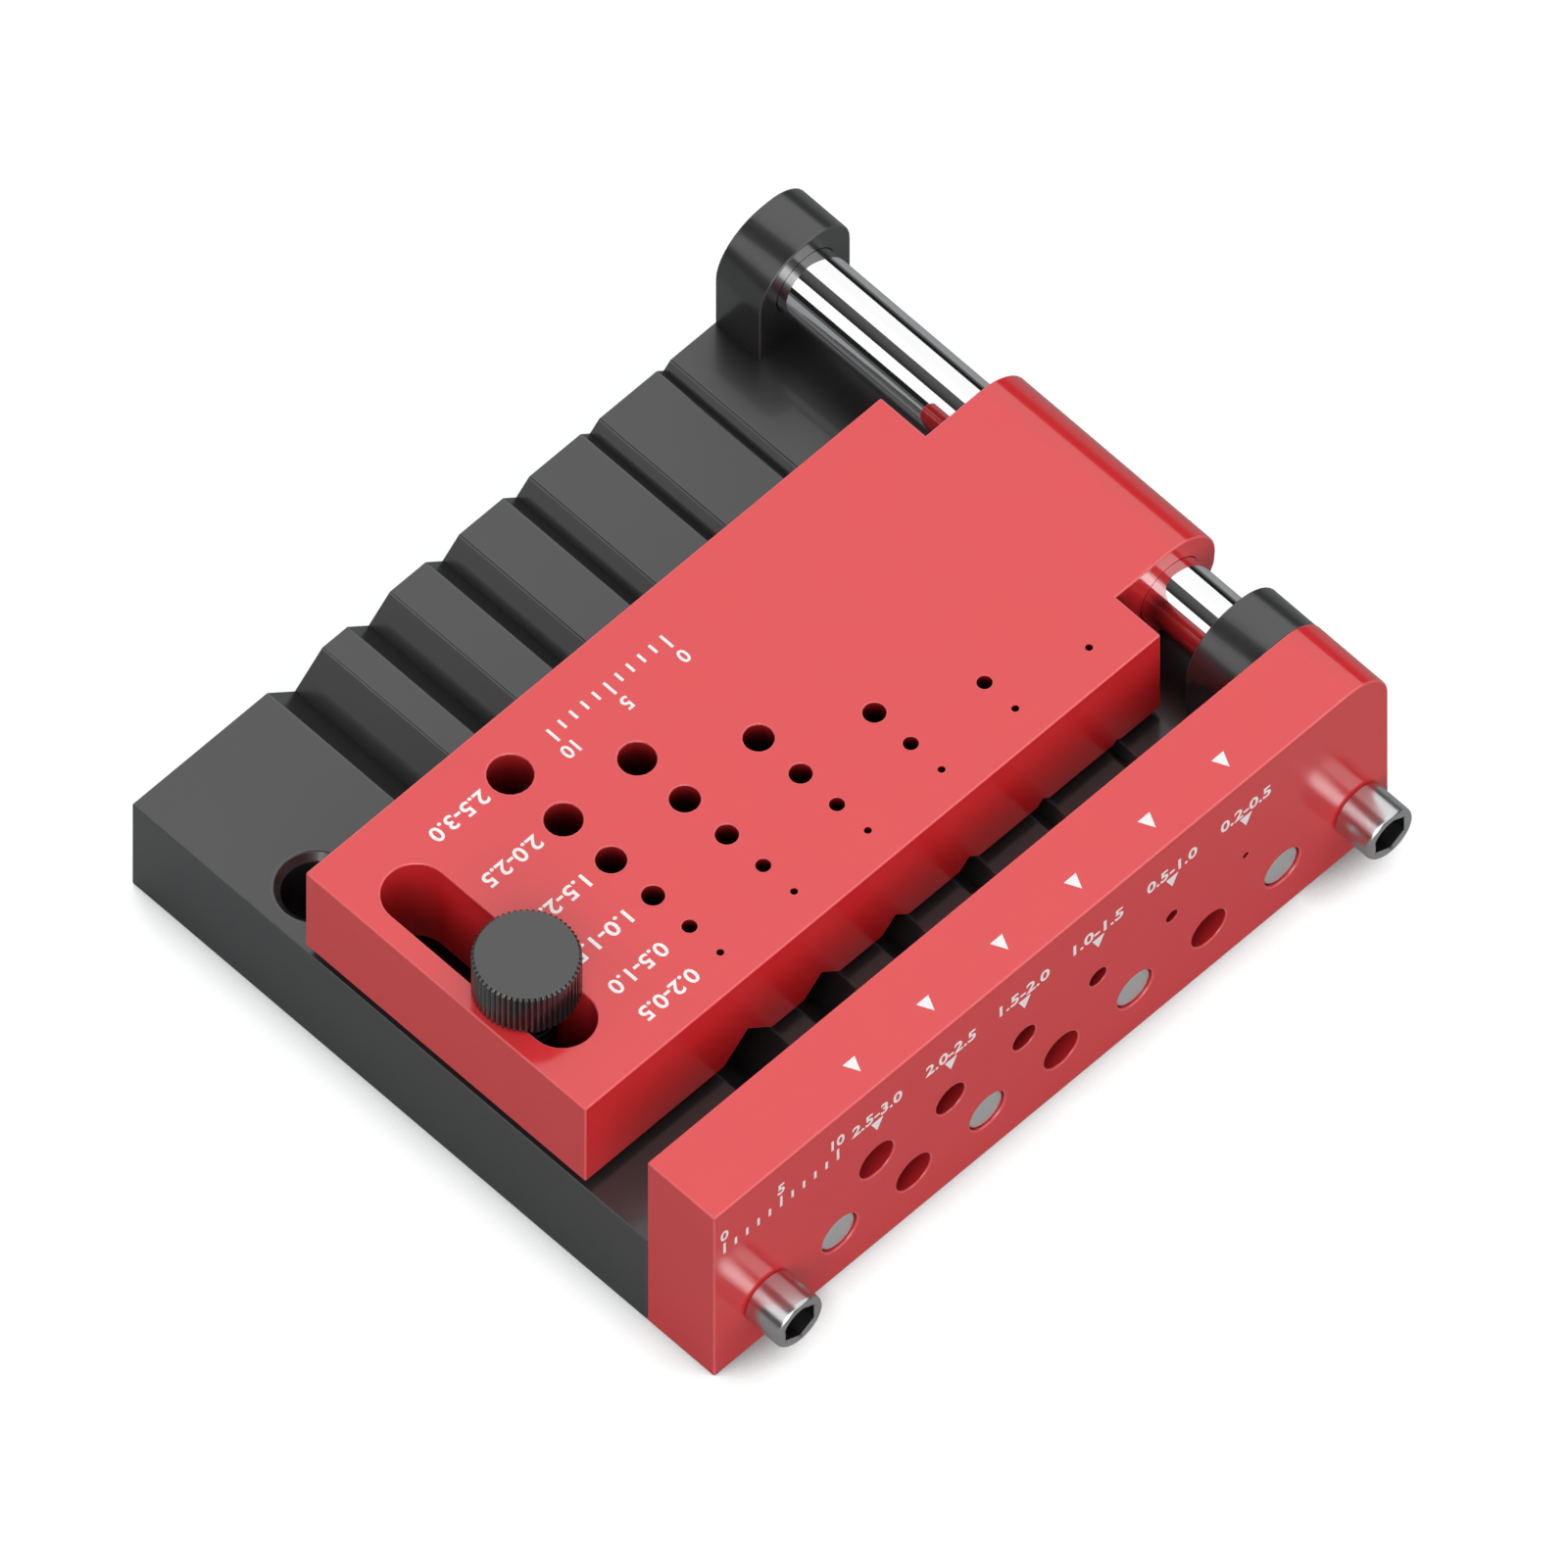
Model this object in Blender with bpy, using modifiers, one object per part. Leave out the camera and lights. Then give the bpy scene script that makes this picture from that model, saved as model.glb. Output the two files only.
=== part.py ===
"""Hinged drilling jig for small rods.

A black grooved base carries a red end block with guide holes. A red drill plate swings and slides
on a steel shaft between two lugs of the base, and a knurled thumbscrew clamps it down on the rods.

Frame: +X from the free edge to the hinge, -Y towards the end block, +Z up. The origin is on the
underside, at the middle of the footprint of base and end block. Lengths are in metres.
"""

import math

import bmesh
import bpy
from mathutils import Matrix, Vector

MM = 0.001

# Base
BODY_LENGTH = 59.4 * MM
BASE_DEPTH = 46.0 * MM
BASE_HEIGHT = 9.0 * MM
LUG_LENGTH = 4.0 * MM
LUG_BACK_WALL = 1.0 * MM
LUG_DROP = 0.1 * MM

# Rounded top edge on the hinge side, shared by the lugs and the end block
BACK_EDGE_RADIUS = 3.4 * MM

# End block, whose top is level with the plate's
END_THICKNESS = 6.0 * MM

# Rod grooves in the base, widest first, each with a shallower notch above it in the plate
GROOVE_HALF_WIDTHS = (2.40 * MM, 1.85 * MM, 1.45 * MM, 1.13 * MM, 0.80 * MM, 0.58 * MM)
NOTCH_REDUCTION = 0.30 * MM
GROOVE_FIRST_INSET = 14.35 * MM
GROOVE_LAST_TO_AXIS = 8.55 * MM

# Drill holes, shared by the plate and the end block
DRILL_DIAMETERS = (3.0 * MM, 2.5 * MM, 2.0 * MM, 1.5 * MM, 1.0 * MM, 0.5 * MM)
DRILL_WEB = 2.0 * MM
DRILL_MARGIN = 2.25 * MM

# Drill plate
PLATE_GAP = 0.8 * MM
PLATE_THICKNESS = 8.2 * MM
PLATE_TO_END = 5.5 * MM
BARREL_SETBACK = 4.0 * MM
LUG_CLEARANCE = 0.7 * MM

# Hinge shaft
SHAFT_DIAMETER = 5.0 * MM
SHAFT_CLEARANCE = 0.05 * MM
SHAFT_END_CLEARANCE = 0.1 * MM
SHAFT_CHAMFER = 0.3 * MM

# Thumbscrew, its slot in the plate and its holes in the base
KNOB_DIAMETER = 7.0 * MM
KNOB_HEIGHT = 3.75 * MM
KNOB_CHAMFER = 0.2 * MM
KNURL_COUNT = 50
KNURL_DEPTH = 0.18 * MM
STUD_DIAMETER = 3.9 * MM
STUD_IN_KNOB = 2.2 * MM
STUD_IN_BASE = 2.2 * MM
STUD_TIP_CHAMFER = 0.4 * MM
STUD_FIT = 0.05 * MM
SLOT_CLEARANCE = 0.3 * MM
SLOT_INSET = 3.85 * MM
SLOT_END_INSET = 6.0 * MM
THUMBSCREW_FROM_SLOT_END = 3.15 * MM
BASE_HOLE_CLEARANCE = 0.25 * MM
BASE_HOLE_DEPTH = 6.0 * MM
BASE_HOLE_CHAMFER = 0.5 * MM
BASE_HOLE_SPACING = 18.85 * MM

# Cap screws at both ends of the lower row of the end block
SCREW_LEFT_INSET = 4.6 * MM
SCREW_RIGHT_INSET = 2.8 * MM
SCREW_DIAMETER = 2.5 * MM
SCREW_IN_BASE = 6.0 * MM
SCREW_FIT = 0.05 * MM
HEAD_DIAMETER = 4.0 * MM
HEAD_HEIGHT = 3.1 * MM
HEAD_CHAMFER = 0.2 * MM
SOCKET_ACROSS_FLATS = 2.0 * MM
SOCKET_DEPTH = 1.6 * MM

# Magnets and spare holes between the cap screws
LOWER_ROW_STEPS = 8
MAGNET_DIAMETER = 3.0 * MM
MAGNET_LENGTH = 3.0 * MM
MAGNET_RECESS = 0.2 * MM
MAGNET_FIT = 0.05 * MM
SPARE_HOLE_DIAMETER = 3.0 * MM
SPARE_HOLE_DEPTH = 3.5 * MM

# Locating pins between base and end block
PIN_DIAMETER = 2.0 * MM
PIN_LENGTH = 7.0 * MM
PIN_IN_BLOCK = 2.5 * MM
PIN_FIT = 0.05 * MM
PIN_END_CLEARANCE = 0.2 * MM

# Cutters reach this far past the faces that they leave through
OVERRUN = 1.0 * MM

# Sides that stand for a full circle
ROUND_STEPS = 40
DISC_STEPS = 28
SMALL_STEPS = 20

# Places worked out from the sizes above
FREE_EDGE = -BODY_LENGTH / 2
HINGE_EDGE = BODY_LENGTH / 2
FRONT = -(BASE_DEPTH + END_THICKNESS) / 2
JOINT_FACE = FRONT + END_THICKNESS
REAR = JOINT_FACE + BASE_DEPTH
PLATE_BOTTOM = BASE_HEIGHT + PLATE_GAP
PLATE_TOP = PLATE_BOTTOM + PLATE_THICKNESS
PLATE_FRONT = JOINT_FACE + PLATE_TO_END
PLATE_DEPTH = 2 * DRILL_MARGIN + sum(DRILL_DIAMETERS) + DRILL_WEB * (len(DRILL_DIAMETERS) - 1)
PLATE_REAR = PLATE_FRONT + PLATE_DEPTH
END_HEIGHT = PLATE_TOP
BARREL_RADIUS = PLATE_THICKNESS / 2
LUG_RADIUS = BARREL_RADIUS - LUG_DROP
AXIS_X = HINGE_EDGE - LUG_RADIUS
AXIS_Z = PLATE_TOP - BARREL_RADIUS
BARREL_EDGE = AXIS_X - LUG_RADIUS - LUG_CLEARANCE
GROOVE_FIRST = FREE_EDGE + GROOVE_FIRST_INSET
GROOVE_PITCH = (AXIS_X - GROOVE_LAST_TO_AXIS - GROOVE_FIRST) / (len(GROOVE_HALF_WIDTHS) - 1)
GROOVES = [GROOVE_FIRST + GROOVE_PITCH * i for i in range(len(GROOVE_HALF_WIDTHS))]
GUIDE_HEIGHT = BASE_HEIGHT + PLATE_GAP / 2
SLOT_X = FREE_EDGE + SLOT_INSET
SLOT_FRONT = PLATE_FRONT + SLOT_END_INSET
SLOT_REAR = PLATE_REAR - SLOT_END_INSET
SLOT_RADIUS = STUD_DIAMETER / 2 + SLOT_CLEARANCE
THUMBSCREW_Y = SLOT_FRONT + THUMBSCREW_FROM_SLOT_END
LOWER_ROW_HEIGHT = BASE_HEIGHT / 2
SCREW_LEFT = FREE_EDGE + SCREW_LEFT_INSET
SCREW_RIGHT = HINGE_EDGE - SCREW_RIGHT_INSET
LOWER_PITCH = (SCREW_RIGHT - SCREW_LEFT) / LOWER_ROW_STEPS
LOWER_ROW = [SCREW_LEFT + LOWER_PITCH * i for i in range(LOWER_ROW_STEPS + 1)]
PIN_PLACES = (LOWER_ROW[0] + LOWER_PITCH / 2, LOWER_ROW[-1] - LOWER_PITCH / 2)

BLACK_ANODISED = ((0.045, 0.045, 0.047), 0.42, 0.6)
RED_ANODISED = ((0.60, 0.035, 0.040), 0.38, 0.6)
POLISHED_STEEL = ((0.75, 0.75, 0.77), 0.12, 1.0)
NICKEL = ((0.70, 0.69, 0.66), 0.22, 1.0)
DARK_STEEL = ((0.30, 0.30, 0.31), 0.35, 1.0)

for old in list(bpy.data.objects):
    bpy.data.objects.remove(old, do_unlink=True)

PARTS = bpy.data.collections.new("rod_drilling_jig")
CUTTERS = bpy.data.collections.new("cutters")
for collection in (PARTS, CUTTERS):
    bpy.context.scene.collection.children.link(collection)


def add_object(name, mesh, collection):
    """Link a mesh as a new object in one of the two collections."""
    obj = bpy.data.objects.new(name, mesh)
    collection.objects.link(obj)
    if collection is CUTTERS:
        obj.hide_render = True
        obj.display_type = "WIRE"
    return obj


def finish(obj, look):
    """Give a sub-part its own Principled material and smooth shading on round faces."""
    colour, roughness, metallic = look
    material = bpy.data.materials.new(obj.name + "_finish")
    material.use_nodes = True
    shader = material.node_tree.nodes["Principled BSDF"]
    shader.inputs["Base Color"].default_value = (*colour, 1.0)
    shader.inputs["Roughness"].default_value = roughness
    shader.inputs["Metallic"].default_value = metallic
    obj.data.materials.append(material)
    obj.data.shade_smooth()
    obj.data.set_sharp_from_angle(angle=math.radians(30))


def set_origin(obj, point):
    """Move an object's origin to a world point without moving its mesh."""
    point = Vector(point)
    obj.data.transform(Matrix.Translation(-point))
    obj.location = point


def arc(centre, radius, start, end, steps):
    """Points of a circular arc between two angles in degrees, both ends included."""
    angles = [math.radians(start + (end - start) * i / steps) for i in range(steps + 1)]
    return [(centre[0] + radius * math.cos(a), centre[1] + radius * math.sin(a)) for a in angles]


def extruded(name, outline, near, far, collection, upright=False):
    """Extrude a closed outline: an XZ outline along Y, or, if upright, an XY outline along Z."""
    curve = bpy.data.curves.new(name, "CURVE")
    curve.dimensions = "2D"
    curve.fill_mode = "BOTH"
    curve.extrude = (far - near) / 2
    spline = curve.splines.new("POLY")
    spline.points.add(len(outline) - 1)
    for point, (u, v) in zip(spline.points, outline):
        point.co = (u, v, 0.0, 1.0)
    spline.use_cyclic_u = True
    shape = bpy.data.objects.new(name, curve)
    PARTS.objects.link(shape)
    graph = bpy.context.evaluated_depsgraph_get()
    mesh = bpy.data.meshes.new_from_object(shape.evaluated_get(graph))
    bpy.data.objects.remove(shape, do_unlink=True)
    mesh.name = name
    bm = bmesh.new()
    bm.from_mesh(mesh)
    bmesh.ops.remove_doubles(bm, verts=bm.verts, dist=0.001 * MM)
    for vert in bm.verts:
        u, v, side = vert.co
        depth = near if side < 0 else far
        vert.co = (u, v, depth) if upright else (u, depth, v)
    bmesh.ops.recalc_face_normals(bm, faces=bm.faces)
    bm.to_mesh(mesh)
    bm.free()
    return add_object(name, mesh, collection)


def cylinder(name, diameter, start, end, collection, steps=ROUND_STEPS, end_diameter=None):
    """A closed cylinder, or a cone if end_diameter is given, between two points on its axis."""
    start, end = Vector(start), Vector(end)
    bm = bmesh.new()
    bmesh.ops.create_cone(
        bm,
        cap_ends=True,
        segments=steps,
        radius1=diameter / 2,
        radius2=(end_diameter or diameter) / 2,
        depth=(end - start).length,
    )
    turn = Vector((0, 0, 1)).rotation_difference(end - start).to_matrix().to_4x4()
    bmesh.ops.transform(bm, matrix=Matrix.Translation((start + end) / 2) @ turn, verts=bm.verts)
    mesh = bpy.data.meshes.new(name)
    bm.to_mesh(mesh)
    bm.free()
    return add_object(name, mesh, collection)


def block(name, low, high, collection):
    """A box between two opposite corners."""
    low, high = Vector(low), Vector(high)
    bm = bmesh.new()
    bmesh.ops.create_cube(bm, size=1.0)
    size = Matrix.Diagonal((*(high - low), 1.0))
    bmesh.ops.transform(bm, matrix=Matrix.Translation((low + high) / 2) @ size, verts=bm.verts)
    mesh = bpy.data.meshes.new(name)
    bm.to_mesh(mesh)
    bm.free()
    return add_object(name, mesh, collection)


def turned(name, profile, collection, steps=ROUND_STEPS):
    """Spin a profile of (radius, height) points, listed from the top down, about the Z axis."""
    mesh = bpy.data.meshes.new(name)
    points = [(radius, 0.0, height) for radius, height in profile]
    mesh.from_pydata(points, [(i, i + 1) for i in range(len(points) - 1)], [])
    obj = add_object(name, mesh, collection)
    screw = obj.modifiers.new("spin", "SCREW")
    screw.axis = "Z"
    screw.steps = steps
    screw.render_steps = steps
    screw.use_merge_vertices = True
    screw.merge_threshold = 0.001 * MM
    return bake(obj)


def bake(obj):
    """Replace an object's mesh by its evaluated mesh, so that it can be turned or moved."""
    graph = bpy.context.evaluated_depsgraph_get()
    mesh = bpy.data.meshes.new_from_object(obj.evaluated_get(graph))
    obj.modifiers.clear()
    obj.data = mesh
    return obj


def combine(obj, others, operation):
    """Add one exact Boolean for each of the other objects."""
    for other in others:
        boolean = obj.modifiers.new(other.name, "BOOLEAN")
        boolean.operation = operation
        boolean.solver = "EXACT"
        boolean.object = other


def drill_y(name, x, z, diameter, near, far, steps=SMALL_STEPS):
    """A cutter for a hole along Y."""
    return cylinder(name, diameter, (x, near, z), (x, far, z), CUTTERS, steps)


def drill_z(name, x, y, diameter, low, high, steps=SMALL_STEPS):
    """A cutter for a hole along Z."""
    return cylinder(name, diameter, (x, y, low), (x, y, high), CUTTERS, steps)


def lug_outline():
    """Outline of a hinge lug, rooted in the base: a wide round in front, a smaller one behind."""
    root = BASE_HEIGHT / 2
    top = AXIS_Z + LUG_RADIUS
    far_side = HINGE_EDGE - 2 * LUG_RADIUS
    back_centre = (HINGE_EDGE - BACK_EDGE_RADIUS, top - BACK_EDGE_RADIUS)
    back = arc(back_centre, BACK_EDGE_RADIUS, 0, 90, ROUND_STEPS // 4)[1:]
    crown = arc((AXIS_X, AXIS_Z), LUG_RADIUS, 90, 180, ROUND_STEPS // 4)[:-1]
    sides = [(far_side, AXIS_Z), (far_side, root), (HINGE_EDGE, root), (HINGE_EDGE, back_centre[1])]
    return sides + back + crown


def clamp_hole(name, y):
    """A cutter for a countersunk hole that takes the thumbscrew's stud."""
    radius = STUD_DIAMETER / 2 + BASE_HOLE_CLEARANCE
    profile = [(0, OVERRUN), (radius + BASE_HOLE_CHAMFER + OVERRUN, OVERRUN)]
    profile += [(radius, -BASE_HOLE_CHAMFER), (radius, -BASE_HOLE_DEPTH), (0, -BASE_HOLE_DEPTH)]
    hole = turned(name, profile, CUTTERS)
    hole.location = (SLOT_X, y, BASE_HEIGHT)
    return hole


def base_plate():
    """The grooved base with both hinge lugs and all its holes."""
    outline = [(FREE_EDGE, 0), (HINGE_EDGE, 0), (HINGE_EDGE, BASE_HEIGHT)]
    for x, half in reversed(list(zip(GROOVES, GROOVE_HALF_WIDTHS))):
        outline += [(x + half, BASE_HEIGHT), (x, BASE_HEIGHT - half), (x - half, BASE_HEIGHT)]
    outline.append((FREE_EDGE, BASE_HEIGHT))
    base = extruded("base_plate", outline, JOINT_FACE, REAR, PARTS)
    lugs = [
        extruded("front_lug", lug_outline(), JOINT_FACE, JOINT_FACE + LUG_LENGTH, CUTTERS),
        extruded("rear_lug", lug_outline(), REAR - LUG_LENGTH, REAR, CUTTERS),
    ]
    combine(base, lugs, "UNION")
    bore = SHAFT_DIAMETER + 2 * SHAFT_CLEARANCE
    cuts = [
        drill_y("lug_bore", AXIS_X, AXIS_Z, bore, JOINT_FACE - OVERRUN, REAR - LUG_BACK_WALL, ROUND_STEPS)
    ]
    for i in range(2):
        cuts.append(clamp_hole(f"clamp_hole_{i}", THUMBSCREW_Y + BASE_HOLE_SPACING * i))
    thread = SCREW_DIAMETER + 2 * SCREW_FIT
    pocket = PIN_DIAMETER + 2 * PIN_FIT
    screw_floor = JOINT_FACE + SCREW_IN_BASE + SCREW_FIT
    pin_floor = JOINT_FACE + PIN_LENGTH - PIN_IN_BLOCK + PIN_END_CLEARANCE
    for side, (x, pin_x) in enumerate(zip((SCREW_LEFT, SCREW_RIGHT), PIN_PLACES)):
        start = JOINT_FACE - OVERRUN
        cuts.append(drill_y(f"base_screw_hole_{side}", x, LOWER_ROW_HEIGHT, thread, start, screw_floor))
        cuts.append(drill_y(f"base_pin_hole_{side}", pin_x, LOWER_ROW_HEIGHT, pocket, start, pin_floor))
    combine(base, cuts, "DIFFERENCE")
    finish(base, BLACK_ANODISED)


def end_block():
    """The upright end block: guide holes above, screws, magnets and spare holes below."""
    corner = (HINGE_EDGE - BACK_EDGE_RADIUS, END_HEIGHT - BACK_EDGE_RADIUS)
    outline = [(FREE_EDGE, 0), (HINGE_EDGE, 0)]
    outline += arc(corner, BACK_EDGE_RADIUS, 0, 90, ROUND_STEPS // 4)
    outline.append((FREE_EDGE, END_HEIGHT))
    end = extruded("end_block", outline, FRONT, JOINT_FACE, PARTS)
    before = FRONT - OVERRUN
    behind = JOINT_FACE + OVERRUN
    cuts = []
    for i, (x, diameter) in enumerate(zip(GROOVES, DRILL_DIAMETERS)):
        cuts.append(drill_y(f"guide_hole_{i}", x, GUIDE_HEIGHT, diameter, before, behind))
    for i, x in enumerate(LOWER_ROW):
        if i in (0, LOWER_ROW_STEPS):
            diameter, depth = SCREW_DIAMETER + 2 * SCREW_FIT, END_THICKNESS + OVERRUN
        elif i % 2:
            diameter, depth = MAGNET_DIAMETER + 2 * MAGNET_FIT, MAGNET_RECESS + MAGNET_LENGTH + MAGNET_FIT
        else:
            diameter, depth = SPARE_HOLE_DIAMETER, SPARE_HOLE_DEPTH
        cuts.append(drill_y(f"lower_hole_{i}", x, LOWER_ROW_HEIGHT, diameter, before, FRONT + depth, DISC_STEPS))
    pocket = PIN_DIAMETER + 2 * PIN_FIT
    floor = JOINT_FACE - PIN_IN_BLOCK - PIN_END_CLEARANCE
    for side, x in enumerate(PIN_PLACES):
        cuts.append(drill_y(f"block_pin_hole_{side}", x, LOWER_ROW_HEIGHT, pocket, floor, behind))
    combine(end, cuts, "DIFFERENCE")
    finish(end, RED_ANODISED)


def hinge_shaft():
    """The round shaft that lies in both lugs and carries the plate."""
    start = JOINT_FACE + SHAFT_END_CLEARANCE
    length = REAR - LUG_BACK_WALL - SHAFT_END_CLEARANCE - start
    radius = SHAFT_DIAMETER / 2
    profile = [(0, length), (radius - SHAFT_CHAMFER, length), (radius, length - SHAFT_CHAMFER)]
    profile += [(radius, SHAFT_CHAMFER), (radius - SHAFT_CHAMFER, 0), (0, 0)]
    shaft = turned("hinge_shaft", profile, PARTS)
    shaft.data.transform(Matrix.Rotation(math.radians(-90), 4, "X"))
    shaft.location = (AXIS_X, start, AXIS_Z)
    finish(shaft, POLISHED_STEEL)


def slot_outline():
    """Outline of the long slot that the thumbscrew passes through."""
    front = arc((SLOT_X, SLOT_FRONT), SLOT_RADIUS, 180, 360, ROUND_STEPS // 2)
    rear = arc((SLOT_X, SLOT_REAR), SLOT_RADIUS, 0, 180, ROUND_STEPS // 2)
    return front + rear


def clamp_plate():
    """The drill plate: notched underside, hinge barrel, slot and a triangle of drill holes."""
    outline = [(FREE_EDGE, PLATE_TOP), (FREE_EDGE, PLATE_BOTTOM)]
    for x, half in zip(GROOVES, GROOVE_HALF_WIDTHS):
        notch = half - NOTCH_REDUCTION
        outline += [(x - notch, PLATE_BOTTOM), (x, PLATE_BOTTOM + notch), (x + notch, PLATE_BOTTOM)]
    outline += arc((AXIS_X, AXIS_Z), BARREL_RADIUS, -90, 90, ROUND_STEPS // 2)
    plate = extruded("clamp_plate", outline, PLATE_FRONT, PLATE_REAR, PARTS)
    set_origin(plate, (AXIS_X, (PLATE_FRONT + PLATE_REAR) / 2, AXIS_Z))
    below = PLATE_BOTTOM - OVERRUN
    above = PLATE_TOP + OVERRUN
    outside = HINGE_EDGE + OVERRUN
    bore = SHAFT_DIAMETER + 2 * SHAFT_CLEARANCE
    cuts = [
        block(
            "front_corner",
            (BARREL_EDGE, PLATE_FRONT - OVERRUN, below),
            (outside, PLATE_FRONT + BARREL_SETBACK, above),
            CUTTERS,
        ),
        block(
            "rear_corner",
            (BARREL_EDGE, PLATE_REAR - BARREL_SETBACK, below),
            (outside, PLATE_REAR + OVERRUN, above),
            CUTTERS,
        ),
        drill_y("barrel_bore", AXIS_X, AXIS_Z, bore, PLATE_FRONT - OVERRUN, PLATE_REAR + OVERRUN, ROUND_STEPS),
        extruded("thumbscrew_slot", slot_outline(), below, above, CUTTERS, upright=True),
    ]
    y = PLATE_REAR - DRILL_MARGIN
    for row, diameter in enumerate(DRILL_DIAMETERS):
        y -= diameter / 2
        for column, x in enumerate(GROOVES[: row + 1]):
            cuts.append(drill_z(f"drill_hole_{row}_{column}", x, y, diameter, below, above))
        y -= diameter / 2 + DRILL_WEB
    combine(plate, cuts, "DIFFERENCE")
    finish(plate, RED_ANODISED)


def knurl_outline():
    """Star-shaped outline of the straight knurl, one ridge and one valley for each tooth."""
    outer = KNOB_DIAMETER / 2
    points = []
    for i in range(2 * KNURL_COUNT):
        radius = outer - KNURL_DEPTH * (i % 2)
        angle = math.pi * i / KNURL_COUNT
        points.append((radius * math.cos(angle), radius * math.sin(angle)))
    return points


def thumbscrew():
    """The knurled knob, resting on the plate, and its threaded stud, which reaches into the base."""
    outer = KNOB_DIAMETER / 2
    knob = extruded("thumbscrew_knob", knurl_outline(), 0, KNOB_HEIGHT, PARTS, upright=True)
    margin = outer + OVERRUN
    profile = [(0, KNOB_HEIGHT + OVERRUN), (outer - KNOB_CHAMFER - OVERRUN, KNOB_HEIGHT + OVERRUN)]
    profile += [(margin, KNOB_HEIGHT - KNOB_CHAMFER - OVERRUN), (margin, KNOB_CHAMFER + OVERRUN)]
    profile += [(outer - KNOB_CHAMFER - OVERRUN, -OVERRUN), (0, -OVERRUN)]
    envelope = turned("knob_envelope", profile, CUTTERS)
    socket = drill_z("knob_socket", 0, 0, STUD_DIAMETER + 2 * STUD_FIT, -OVERRUN, STUD_IN_KNOB + STUD_FIT, ROUND_STEPS)
    place = (SLOT_X, THUMBSCREW_Y, PLATE_TOP)
    for obj in (knob, envelope, socket):
        obj.location = place
    combine(knob, [envelope], "INTERSECT")
    combine(knob, [socket], "DIFFERENCE")
    finish(knob, BLACK_ANODISED)

    radius = STUD_DIAMETER / 2
    tip = BASE_HEIGHT - STUD_IN_BASE - PLATE_TOP
    profile = [(0, STUD_IN_KNOB), (radius, STUD_IN_KNOB), (radius, tip + STUD_TIP_CHAMFER)]
    profile += [(radius - STUD_TIP_CHAMFER, tip), (0, tip)]
    stud = turned("thumbscrew_stud", profile, PARTS)
    stud.location = place
    finish(stud, DARK_STEEL)


def cap_screw(name, x):
    """A socket-head screw through the end block into the base."""
    head = HEAD_DIAMETER / 2
    shank = SCREW_DIAMETER / 2
    length = END_THICKNESS + SCREW_IN_BASE
    profile = [(0, HEAD_HEIGHT), (head - HEAD_CHAMFER, HEAD_HEIGHT), (head, HEAD_HEIGHT - HEAD_CHAMFER)]
    profile += [(head, 0), (shank, 0), (shank, -length), (0, -length)]
    screw = turned(name, profile, PARTS)
    corners = SOCKET_ACROSS_FLATS / math.cos(math.radians(30))
    socket = drill_z(name + "_socket", 0, 0, corners, HEAD_HEIGHT - SOCKET_DEPTH, HEAD_HEIGHT + OVERRUN, 6)
    for obj in (screw, socket):
        obj.data.transform(Matrix.Rotation(math.radians(90), 4, "X"))
        obj.location = (x, FRONT, LOWER_ROW_HEIGHT)
    combine(screw, [socket], "DIFFERENCE")
    finish(screw, POLISHED_STEEL)


def magnets():
    """The disc magnets, set just below the face of the end block."""
    places = LOWER_ROW[1:LOWER_ROW_STEPS:2]
    for number, x in enumerate(places, start=1):
        start = FRONT + MAGNET_RECESS
        magnet = cylinder(
            f"magnet_{number}",
            MAGNET_DIAMETER,
            (x, start, LOWER_ROW_HEIGHT),
            (x, start + MAGNET_LENGTH, LOWER_ROW_HEIGHT),
            PARTS,
            DISC_STEPS,
        )
        finish(magnet, NICKEL)


def locating_pins():
    """The hidden pins that line the guide holes up with the grooves."""
    start = JOINT_FACE - PIN_IN_BLOCK
    for name, x in zip(("locating_pin_left", "locating_pin_right"), PIN_PLACES):
        low = (x, start, LOWER_ROW_HEIGHT)
        high = (x, start + PIN_LENGTH, LOWER_ROW_HEIGHT)
        finish(cylinder(name, PIN_DIAMETER, low, high, PARTS, SMALL_STEPS), DARK_STEEL)


base_plate()
end_block()
hinge_shaft()
clamp_plate()
thumbscrew()
cap_screw("cap_screw_left", SCREW_LEFT)
cap_screw("cap_screw_right", SCREW_RIGHT)
magnets()
locating_pins()
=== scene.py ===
"""Looks of the rod drilling jig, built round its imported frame. Lengths are in metres."""

import math

import bmesh
import bpy
from mathutils import Matrix, Vector


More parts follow.
